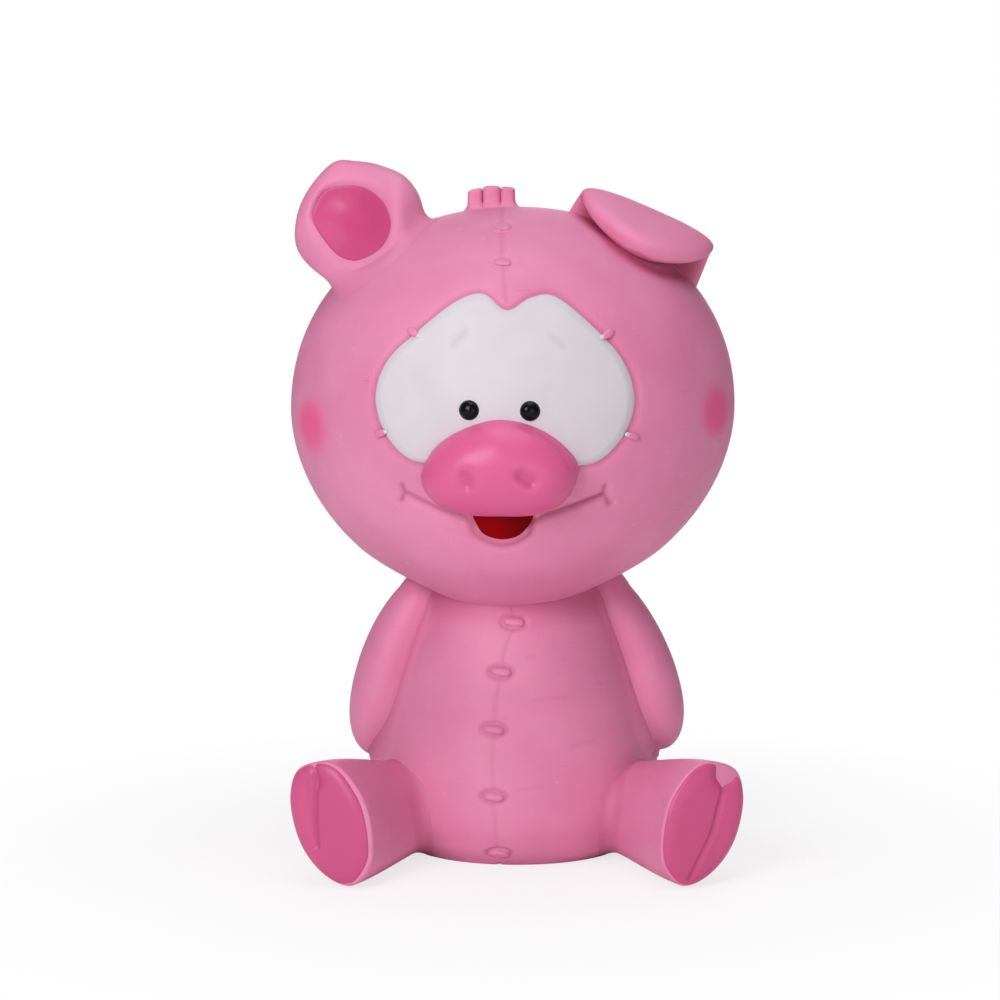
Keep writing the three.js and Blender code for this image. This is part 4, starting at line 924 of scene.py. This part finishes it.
def folded_ear_skin(sizes):
    """Folded ear: a slab swept from its root in the head up over the fold and down the flap. Each section is
    a rounded bar, as wide as a leaf outline allows, that stays square to the path."""
    rows, columns = FOLD_GRID
    path = curve(FOLD_PATH, rows)
    step = unit(np.gradient(path, axis=0))
    share = np.linspace(0, 1, rows)[:, None]
    tip = np.clip((share - FLAP_START) / (1 - FLAP_START), 0, 1)
    root = rounded(np.clip(1 - share / ROOT_END, 0, 1), ROOT_POWER)
    out_of_root = smoothstep(share, 0.0, FLAP_START)
    leaf = np.maximum(1 - tip ** LEAF_POWER, 0) ** LEAF_FULLNESS
    wide = sizes.flap_width / 2 * leaf * root * lerp(ROOT_WIDER, 1.0, out_of_root)
    thick = sizes.flap_thickness / 2 * rounded(tip, LEAF_END_POWER) * root
    turn = ring_angles(columns)
    across_power, thick_power = FLAP_SECTION
    middle = LEAF_SHIFT + LEAF_SHIFT * tip - ROOT_SHIFT * (1 - out_of_root)
    u = middle + wide * power_of(np.cos(turn), across_power)
    across = thick * power_of(np.sin(turn), thick_power)
    y = path[:, :1] - step[:, 1:] * across
    w = path[:, 1:] + step[:, :1] * across
    skin = grid(u, y, w) @ rotation(1, FOLD_SLOPE).T + PIVOTS["left_ear_lift"]
    # painted shade on the inner side of the fold, deepest on the front of the root under the flap
    inner = smoothstep(np.sin(turn), *FLAP_INSIDE)
    return skin, {"crease_shade": inner * lerp(*FLAP_INNER_SHADES, smoothstep(share, *FLAP_SHADE_SPAN))}


def tail_skin():
    """Tail: a tapering tube that leaves the back of the body and winds about its own axis."""
    rows, columns = TAIL_GRID
    share = np.linspace(0, 1, rows)
    curl = TAIL_CURL * smoothstep(share, 0, TAIL_CURL_START)
    wind = 2 * math.pi * TAIL_TURNS * share
    reach = (TAIL_HIGH - TAIL_LOW)[1] - TAIL_SHORTER
    path = grid(curl * np.cos(wind), share * reach, curl * np.sin(wind))
    along = unit(np.gradient(path, axis=0))
    side = unit(np.cross(along, [0.0, 0.0, 1.0]))
    up = np.cross(side, along)
    tip = np.clip((share - 1 + TAIL_TIP) / TAIL_TIP, 0, 1)
    radius = lerp(*TAIL_RADII, share) * rounded(tip, 2)
    radius[0] = 0
    turn = ring_angles(columns)[..., None]
    ring = side[:, None] * np.cos(turn) + up[:, None] * np.sin(turn)
    start = np.array([AXIS[0], TAIL_LOW[1] + TAIL_SINK, (TAIL_LOW + TAIL_HIGH)[2] / 2 - TAIL_DROP])
    return start + path[:, None] + radius[:, None, None] * ring


def housing_skin():
    """Squeaker housing: its wall section with broken edges turned about the body's axis, closed both ways."""
    section = np.array(HOUSING_SECTION)
    edges = [lerp(section, np.roll(section, shift, axis=0), EDGE_BREAK) for shift in (1, -1)]
    edges = np.concatenate(edges, axis=1).reshape(-1, 2)
    turn = ring_angles(HOUSING_COLUMNS)
    radius = edges[:, :1]
    return grid(radius * np.cos(turn), radius * np.sin(turn), edges[:, 1:]) + AXIS


def linear(hex_colour):
    """Linear red, green, blue and alpha of an sRGB colour written as six hex digits."""
    parts = [int(hex_colour[i:i + 2], 16) / 255 for i in (0, 2, 4)]
    return (*(p / 12.92 if p <= 0.04045 else ((p + 0.055) / 1.055) ** 2.4 for p in parts), 1.0)


def per_mm(size):
    """Texture scale of a pattern whose features are this many mm apart, on coordinates in metres."""
    return 1 / (size * MM)


def bands_per_mm(size):
    """Scale of a wave texture whose bands are this many mm apart: it draws 20 / (2 pi) bands per unit."""
    return 2 * math.pi / 20 / (size * MM)


def add_node(tree, kind, inputs=None, **settings):
    """Adds a shader node with its settings; an input that is a socket is linked, any other value is set."""
    node = tree.nodes.new("ShaderNode" + kind)
    for key, value in settings.items():
        setattr(node, key, value)
    for key, value in (inputs or {}).items():
        if isinstance(value, bpy.types.NodeSocket):
            tree.links.new(value, node.inputs[key])
        else:
            node.inputs[key].default_value = value
    return node


def noise(tree, place, size, detail=FINE_DETAIL):
    """Noise at a place whose features are this many mm apart."""
    return add_node(tree, "TexNoise", {"Vector": place, "Scale": per_mm(size), "Detail": detail}).outputs[0]


def remap(tree, value, low, high, to_low, to_high):
    """A value between low and high, moved to lie between two others."""
    return add_node(tree, "MapRange", {0: value, 1: low, 2: high, 3: to_low, 4: to_high}).outputs[0]


def mix(tree, share, colour, other):
    """A colour mixed with a share of another."""
    return add_node(tree, "Mix", {0: share, 6: colour, 7: other}, data_type="RGBA").outputs[2]


def combine(tree, operation, first, second):
    """Two values joined by a sum, a product or the like."""
    return add_node(tree, "Math", {0: first, 1: second}, operation=operation).outputs[0]


def point_value(tree, name):
    """A named value of the mesh's points."""
    return add_node(tree, "Attribute", attribute_name=name).outputs["Fac"]


def new_material(name):
    """An empty node material, its tree and the places on the object."""
    material = bpy.data.materials.new(name)
    material.use_nodes = True
    tree = material.node_tree
    tree.nodes.clear()
    return material, tree, add_node(tree, "TexCoord").outputs["Object"]


def finish_surface(tree, colour, roughness, height, bump, more):
    """Joins a bumped surface to the output; bump is its strength and its depth in mm."""
    strength, depth = bump
    uneven = add_node(tree, "Bump", {"Height": height, "Strength": strength, "Distance": depth * MM})
    inputs = {"Base Color": colour, "Roughness": roughness, "Normal": uneven.outputs[0], **more}
    surface = add_node(tree, "BsdfPrincipled", inputs).outputs[0]
    add_node(tree, "OutputMaterial", {"Surface": surface})


def cloth_grain(tree, cloth, place):
    """Height of the cloth that the mould was taken from: two crossing sets of threads, wavering a little and
    worn in places. The real threads are near 0.5 mm; so fine they would vanish at the camera's distance."""
    threads = {"Vector": cloth, "Scale": bands_per_mm(THREAD_GAP), **THREAD_WAVER}
    warp, weft = (add_node(tree, "TexWave", threads, bands_direction=way).outputs["Fac"] for way in "XY")
    worn = remap(tree, noise(tree, place, WORN_SIZE), *WORN_RANGE)
    return combine(tree, "MULTIPLY", combine(tree, "ADD", warp, weft), worn)


def scratch_marks(tree, cloth):
    """Short level scratches and nicks, rare and thin: a noise that is stretched along the threads."""
    stretch = (*(per_mm(size) for size in STREAK_SIZE), 1.0)
    lines = add_node(tree, "Mapping", {"Vector": cloth, "Scale": stretch}).outputs[0]
    streaks = add_node(tree, "TexNoise", {"Vector": lines, "Scale": 1.0, "Detail": FINE_DETAIL}).outputs[0]
    return remap(tree, streaks, *STREAK_RANGE)


def latex_material(colours):
    """Cast latex, dyed through and left matt: a soft broad shine, the grain of the cloth it copies, cloudy
    dye, pale rubbed specks and thin scratches. The blush is sprayed on; the creases get a painted shade of
    deeper pink."""
    material, tree, place = new_material(LATEX)
    cloth = add_node(tree, "UVMap", uv_map="cloth").outputs["UV"]
    cloudy = remap(tree, noise(tree, place, CLOUD_SIZE, CLOUD_DETAIL), *CLOUD_RANGE)
    rubbed = remap(tree, noise(tree, place, SPECK_SIZE), *SPECK_RANGE)
    scratch = scratch_marks(tree, cloth)
    faint = combine(tree, "MULTIPLY", scratch, STREAK_SHADE)
    # painted shade of creases, grooves and fillets, joined with the darker colour of the scratches
    deep = combine(tree, "MAXIMUM", point_value(tree, "crease_shade"), faint)
    colour = mix(tree, cloudy, colours.latex, colours.latex_deep)
    colour = mix(tree, rubbed, colour, colours.white)
    colour = mix(tree, point_value(tree, "blush"), colour, colours.blush)
    colour = mix(tree, deep, colour, colours.crease_shade)
    height = combine(tree, "SUBTRACT", cloth_grain(tree, cloth, place), scratch)
    finish_surface(tree, colour, LATEX_ROUGHNESS, height, LATEX_BUMP, LATEX_FINISH)
    return material


def paint_material(name, colour, deep, roughness, shine, grain_size):
    """Paint over the latex or moulded plastic: a smoother coat than the skin, a little uneven in colour, with
    a fine orange-peel grain; the point value of tone and shade draws the deeper colour: the soles' own deeper
    paint, and elsewhere painted shade in dents, grooves and clefts and a painted light on the outer toes."""
    material, tree, place = new_material(name)
    cloudy = remap(tree, noise(tree, place, PAINT_CLOUD_SIZE, CLOUD_DETAIL), *PAINT_CLOUD_RANGE)
    # the deeper colour: painted shade in dents, grooves and clefts, and the soles' own deeper paint
    uneven = mix(tree, combine(tree, "MAXIMUM", cloudy, point_value(tree, "tone_and_shade")), colour, deep)
    grain = noise(tree, place, grain_size)
    rough = remap(tree, grain, 0.0, 1.0, roughness - PAINT_SPREAD, roughness + PAINT_SPREAD)
    finish_surface(tree, uneven, rough, grain, PAINT_BUMP, {"Specular IOR Level": shine})
    return material


def length(name, size, text):
    """A size that a user may change, given in mm."""
    return bpy.props.FloatProperty(name=name, default=size * MM, min=0.0, unit="LENGTH", description=text)


def colour(name, hex_colour, text):
    """A colour that a user may change."""
    return bpy.props.FloatVectorProperty(
        name=name, default=linear(hex_colour), size=4, min=0.0, max=1.0, subtype="COLOR", description=text)


class PigSizes(bpy.types.PropertyGroup):
    """Sizes of the skins."""
    head_width: length("Head width", (HEAD_HIGH - HEAD_LOW)[0], "Across the cheeks")
    head_depth: length("Head depth", (HEAD_HIGH - HEAD_LOW)[1], "From the face to the back of the head")
    head_height: length("Head height", HEAD_HEIGHT, "From the chin to the crown")
    body_width: length("Body width", (BODY_HIGH - BODY_LOW)[0], "Across the hips")
    leg_length: length("Leg length", 41, "From the hip to the sole")
    snout_depth: length("Snout depth", 10, "How far the snout stands out")
    mouth_depth: length("Mouth depth", 1.6, "How deep the mouth is pressed in")
    smile_depth: length("Smile depth", 0.7, "How deep the smile line is cut")
    seam_depth: length("Seam depth", 0.15, "How deep the sculpted seams are")
    seam_width: length("Seam width", 0.5, "Half the width of a sculpted seam")
    stitch_length: length("Stitch length", 4.0, "Length of a moulded stitch")
    stitch_radius: length("Stitch radius", 0.85, "Half the thickness of a moulded stitch")
    patch_rise: length("Patch rise", 0.45, "How far the eye patch stands out")
    ear_dish: length("Ear dish", 3.2, "How deep the upright ear is hollowed")
    flap_width: length("Flap width", 28, "Across the folded ear")
    flap_thickness: length("Flap thickness", 5.2, "Thickness of the folded ear")


class PigColours(bpy.types.PropertyGroup):
    """Colours of the latex and the paint."""
    latex: colour("Latex", "E388AF", "Pink dye of the latex")
    latex_deep: colour("Latex clouds", "DC7CA5", "Deeper clouds in the dye")
    blush: colour("Blush", "EC5A93", "Sprayed cheeks")
    # painted shade: the deeper pink painted into seams, creases, grooves and fillets, where shade falls
    crease_shade: colour("Creases", "B23E68", "Deeper pink in seams and creases")
    deep: colour("Deep pink", "DD5F93", "Snout and soles")
    # painted shade in nostrils, grooves, clefts and notches; also the soles' own deeper paint
    deep_shade: colour("Deep pink shade", "C24B7C", "Nostrils and clefts")
    lining: colour("Ear lining", "CB487F", "Paint inside the upright ear")
    lining_shade: colour("Ear lining shade", "B83A70", "Thicker paint inside the ear")
    white: colour("White", "D6D1D7", "Eye patch")
    # painted shade of the moulded brow marks, and the patch's cloudy tone
    white_shade: colour("White shade", "B7AFBA", "Brow smudges on the eye patch")
    mouth: colour("Mouth", "930009", "Red mouth")
    # painted shade: the deeper red on the right side of the mouth's recess
    mouth_shade: colour("Mouth shade", "6E0006", "Deeper red in the mouth")
    black: colour("Black", "0B0A0C", "Gloss paint of the eyes")
    plastic: colour("Plastic", "E9E6DE", "Squeaker housing")
    plastic_shade: colour("Plastic shade", "D6D2C8", "Mould marks on the squeaker")
    film: colour("Reed film", "C9B98C", "Thin sheet of the reed")


def sizes_in_mm(context):
    """The panel's sizes as plain numbers in mm."""
    group = context.scene.pig_sizes
    return SimpleNamespace(**{key: getattr(group, key) / MM for key in PigSizes.__annotations__})


def materials(context):
    """All materials by slot of the record, made once. Each row holds how it is made, its two colours, how
    rough and how shiny it is and the size of its grain in mm."""
    tint = context.scene.pig_colours
    rows = {
        "deep_pink_paint": ("deep pink paint, sprayed satin", tint.deep, tint.deep_shade, 0.38, 0.4, 0.8),
        "ear_lining_paint": (
            "ear lining paint, brushed satin", tint.lining, tint.lining_shade, 0.42, 0.4, 0.9),
        "white_paint": ("white paint, sprayed matt", tint.white, tint.white_shade, 0.6, 0.3, 0.7),
        "mouth_red_paint": ("mouth red paint, brushed", tint.mouth, tint.mouth_shade, 0.6, 0.05, 1.2),
        "black_gloss": ("black paint, dabbed gloss", tint.black, tint.black, 0.2, 0.18, 1.5),
        "squeaker_plastic": ("squeaker plastic, moulded", tint.plastic, tint.plastic_shade, 0.45, 0.5, 1.1),
        "reed_film": ("reed film, cut from sheet", tint.film, tint.plastic_shade, 0.3, 0.5, 0.6),
    }
    made = {}
    for slot, row in rows.items():
        made[slot] = bpy.data.materials.get(row[0]) or paint_material(*row)
    made["pink_latex"] = bpy.data.materials.get(LATEX) or latex_material(tint)
    return made


def add_piece(context, name, slot, replaces, points, values=None, ring=False):
    """A finished piece of a slot's material that stands for some solids, or for none."""
    obj = add_grid(name, points, materials(context)[slot], values, ring)
    if replaces:
        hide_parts(*replaces)
    return obj


def metres(*place):
    """A place in mm as a vector in metres."""
    return Vector(place) * MM


class PIG_OT_head(bpy.types.Operator):
    """Adds the head skin and its moulded stitches"""
    bl_idname = "pig.head"
    bl_label = "Head"

    def execute(self, context):
        sizes = sizes_in_mm(context)
        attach(add_piece(context, "head_skin", "pink_latex", ["head_shell"], *head_skin(sizes)), "head")
        for number, place in enumerate(CROWN_STITCHES, 1):
            bar = bar_on(lambda x, z: head_face(sizes, x, z), place, STITCH_TILT, *crown_stitch(sizes))
            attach(add_piece(context, f"crown_stitch_{number}", "pink_latex", [], head_to_row(bar)), "head")
        return {"FINISHED"}


class PIG_OT_face(bpy.types.Operator):
    """Adds the eye patch, its edge stitches, the eyes, the snout and the mouth"""
    bl_idname = "pig.face"
    bl_label = "Face"

    def execute(self, context):
        sizes = sizes_in_mm(context)
        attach(add_piece(context, "patch_skin", "white_paint", ["eye_patch"], *patch_skin(sizes)), "head")
        for number, (x, z) in enumerate(EDGE_STITCHES, 1):
            angle = math.atan2(z - PATCH_CENTRE[1], x - PATCH_CENTRE[0])
            for slot, (shift, half, radius) in EDGE_NUBS.items():
                place = (x + shift * math.cos(angle), z + shift * math.sin(angle))
                nub = bar_on(lambda a, b: head_face(sizes, a, b) - EDGE_NUB_RISE, place, angle, half, radius)
                name = f"edge_stitch_{number}_{slot}"
                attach(add_piece(context, name, slot, [], head_to_row(nub)), "head")
        for name, place in EYES.items():
            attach(add_piece(context, name + "_bead", "black_gloss", [name], eye_skin(sizes, place)), "head")
        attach(add_piece(context, "snout_skin", "deep_pink_paint", ["snout"], *snout_skin(sizes)), "head")
        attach(add_piece(context, "mouth_skin", "mouth_red_paint", ["tongue"], *mouth_skin(sizes)), "head")
        return {"FINISHED"}


class PIG_OT_tuft(bpy.types.Operator):
    """Adds the three locks on the crown"""
    bl_idname = "pig.tuft"
    bl_label = "Tuft"

    def execute(self, context):
        sizes = sizes_in_mm(context)
        for number, lock in enumerate(LOCKS, 1):
            nodes = ["hair_tuft"] if number == 1 else []
            skin = tuft_skin(sizes, *lock)
            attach(add_piece(context, f"tuft_lock_{number}", "pink_latex", nodes, skin), "head")
        return {"FINISHED"}


class PIG_OT_ears(bpy.types.Operator):
    """Adds the upright ear with its lining and the folded ear"""
    bl_idname = "pig.ears"
    bl_label = "Ears"

    def execute(self, context):
        sizes = sizes_in_mm(context)
        ear = add_piece(context, "upright_ear_skin", "pink_latex", ["right_ear"], *ear_skin(sizes))
        skin = lining_skin(sizes)
        lining = add_piece(context, "upright_ear_paint", "ear_lining_paint", ["right_ear_lining"], skin)
        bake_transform(ear)
        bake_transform(lining)
        nodes = ["left_ear_root", "left_ear_flap"]
        flap = add_piece(context, "folded_ear_skin", "pink_latex", nodes, *folded_ear_skin(sizes))
        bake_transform(flap)
        return {"FINISHED"}


class PIG_OT_body(bpy.types.Operator):
    """Adds the body skin with its soft belly, the seam stitches and the tail"""
    bl_idname = "pig.body"
    bl_label = "Body"

    def execute(self, context):
        sizes = sizes_in_mm(context)
        nodes = ["torso_shell", "belly_panel"]
        body = add_piece(context, "body_skin", "pink_latex", nodes, *body_skin(sizes))
        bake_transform(body)
        for number, place in enumerate(BODY_STITCHES, 1):
            bar = bar_on(lambda x, z: body_face(sizes, x, z), place, STITCH_TILT, *body_stitch(sizes))
            stitch = add_piece(context, f"body_stitch_{number}", "pink_latex", [], bar + AXIS)
            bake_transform(stitch)
        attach(add_piece(context, "tail_skin", "pink_latex", ["tail"], tail_skin()), "torso")
        return {"FINISHED"}


class PIG_OT_limbs(bpy.types.Operator):
    """Adds the arms, the legs and their soles"""
    bl_idname = "pig.limbs"
    bl_label = "Limbs"

    def execute(self, context):
        sizes = sizes_in_mm(context)
        for side, word in SIDES.items():
            nodes = [f"{word}_arm"]
            arm = add_piece(context, f"{word}_arm_skin", "pink_latex", nodes, *arm_skin(sizes, side))
            shoulder = metres(*PIVOTS[f"{word}_arm_lift"])
            start, end = (shoulder + metres(0, 0, height) for height in SHOULDER_BEND)
            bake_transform(arm)
            nodes = [f"{word}_leg"]
            leg = add_piece(context, f"{word}_leg_skin", "pink_latex", nodes, *leg_skin(sizes, side))
            start, end = (metres(*leg_to_row(np.array((0.0, -along, 0.0)), side)) for along in LEG_BEND)
            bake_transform(leg)
            nodes = [f"{word}_sole"]
            sole = add_piece(context, f"{word}_sole_skin", "deep_pink_paint", nodes, *sole_skin(sizes, side))
            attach(sole, f"{word}_leg")
        return {"FINISHED"}


class PIG_OT_squeaker(bpy.types.Operator):
    """Adds the squeaker housing and finishes the small squeaker parts"""
    bl_idname = "pig.squeaker"
    bl_label = "Squeaker"

    def execute(self, context):
        nodes = ["squeaker_housing"]
        housing = add_piece(context, "housing_turned", "squeaker_plastic", nodes, housing_skin(), ring=True)
        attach(housing, "torso")
        finishes = {"reed_plate": "squeaker_plastic", "reed_clamp": "squeaker_plastic",
                    "squeaker_cap": "squeaker_plastic", "reed": "reed_film"}
        for node, slot in finishes.items():
            mesh = frame["nodes"][node].data
            mesh.materials.clear()
            mesh.materials.append(materials(context)[slot])
        return {"FINISHED"}


class PIG_OT_stage(bpy.types.Operator):
    """Adds the floor, the studio lamps, the white background and the camera"""
    bl_idname = "pig.stage"
    bl_label = "Stage"

    def execute(self, context):
        aim = metres(*CAMERA_AIM)
        for name, place, size, power, tint in LAMPS:
            add_lamp(name, aim, metres(*place), size, power, tint)
        add_floor()
        add_world(context.scene)
        add_camera(context.scene, aim)
        return {"FINISHED"}


def add_lamp(name, aim, place, size, power, tint):
    """Soft square lamp of a size in mm, a power in watts and a colour, turned to the aim."""
    light = bpy.data.lights.new(name, "AREA")
    light.size = size * MM
    light.energy = power
    light.color = linear(tint)[:3]
    lamp = bpy.data.objects.new(name, light)
    lamp.location = place
    lamp.rotation_euler = (aim - place).to_track_quat("-Z", "Y").to_euler()
    bpy.context.scene.collection.objects.link(lamp)


def add_floor():
    """Round pale floor that glows to white away from the toy, so that only the soft shadow shows."""
    rows, columns = FLOOR_GRID
    far = np.linspace(0, FLOOR_RADIUS, rows)[:, None]
    turn = ring_angles(columns)
    top = grid(far * np.cos(turn), far * np.sin(turn), -FLOOR_DROP)
    under = top[::-1] - np.array([0.0, 0.0, FLOOR_THICKNESS])
    material, tree, place = new_material("pale floor, matt card")
    tint = remap(tree, noise(tree, place, FIBRE_SIZE), *FIBRE_RANGE)
    away = add_node(tree, "VectorMath", {0: place}, operation="LENGTH").outputs["Value"]
    fade = remap(tree, away, *FLOOR_GLOW_RANGE)
    card = add_node(tree, "BsdfDiffuse", {"Color": tint}).outputs[0]
    glow = add_node(tree, "Emission", {"Color": WHITE, "Strength": 1.0}).outputs[0]
    seen = add_node(tree, "LightPath").outputs["Is Camera Ray"]
    mixed = add_node(tree, "MixShader", {0: combine(tree, "MULTIPLY", fade, seen), 1: card, 2: glow})
    add_node(tree, "OutputMaterial", {"Surface": mixed.outputs[0]})
    add_grid("floor", np.vstack([top, under]), material)


def add_world(scene):
    """White for the camera, a soft grey light for everything else."""
    world = bpy.data.worlds.new("studio")
    world.use_nodes = True
    tree = world.node_tree
    tree.nodes.clear()
    seen = add_node(tree, "LightPath").outputs["Is Camera Ray"]
    soft = add_node(tree, "Background", {"Color": WHITE, "Strength": ROOM_LIGHT}).outputs[0]
    white = add_node(tree, "Background", {"Color": WHITE, "Strength": 1.0}).outputs[0]
    mixed = add_node(tree, "MixShader", {0: seen, 1: soft, 2: white})
    add_node(tree, "OutputWorld", {"Surface": mixed.outputs[0]})
    scene.world = world


def add_camera(scene, aim):
    """Camera at the photograph's angle: straight ahead and a little above."""
    lens = bpy.data.cameras.new("camera")
    lens.lens = CAMERA_LENS
    camera = bpy.data.objects.new("camera", lens)
    away = Vector((0.0, -math.cos(CAMERA_RISE), math.sin(CAMERA_RISE)))
    camera.location = aim + CAMERA_DISTANCE * MM * away
    camera.rotation_euler = (aim - camera.location).to_track_quat("-Z", "Y").to_euler()
    scene.collection.objects.link(camera)
    scene.camera = camera
    scene.view_settings.view_transform = "Standard"


OPERATORS = [PIG_OT_body, PIG_OT_limbs, PIG_OT_head, PIG_OT_face, PIG_OT_tuft, PIG_OT_ears, PIG_OT_squeaker,
             PIG_OT_stage]


class PIG_PT_panel(bpy.types.Panel):
    """Lists the pieces, their sizes and their colours"""
    bl_idname = "PIG_PT_panel"
    bl_label = "Pig"
    bl_space_type = "VIEW_3D"
    bl_region_type = "UI"
    bl_category = "Pig"

    def draw(self, context):
        for operator in OPERATORS:
            self.layout.operator(operator.bl_idname)
        for group in (context.scene.pig_sizes, context.scene.pig_colours):
            for key in group.__annotations__:
                self.layout.prop(group, key)


CLASSES = [PigSizes, PigColours, *OPERATORS, PIG_PT_panel]


def register():
    """Makes the properties, operators and panel known."""
    for item in CLASSES:
        bpy.utils.register_class(item)
    bpy.types.Scene.pig_sizes = bpy.props.PointerProperty(type=PigSizes)
    bpy.types.Scene.pig_colours = bpy.props.PointerProperty(type=PigColours)


def unregister():
    """Takes them away again."""
    del bpy.types.Scene.pig_sizes
    del bpy.types.Scene.pig_colours
    for item in reversed(CLASSES):
        bpy.utils.unregister_class(item)


def main():
    """Registers the add-on and builds every piece in order."""
    register()
    bpy.ops.pig.body()
    bpy.ops.pig.limbs()
    bpy.ops.pig.head()
    bpy.ops.pig.face()
    bpy.ops.pig.tuft()
    bpy.ops.pig.ears()
    bpy.ops.pig.squeaker()
    bpy.ops.pig.stage()


if __name__ == "__main__":
    main()
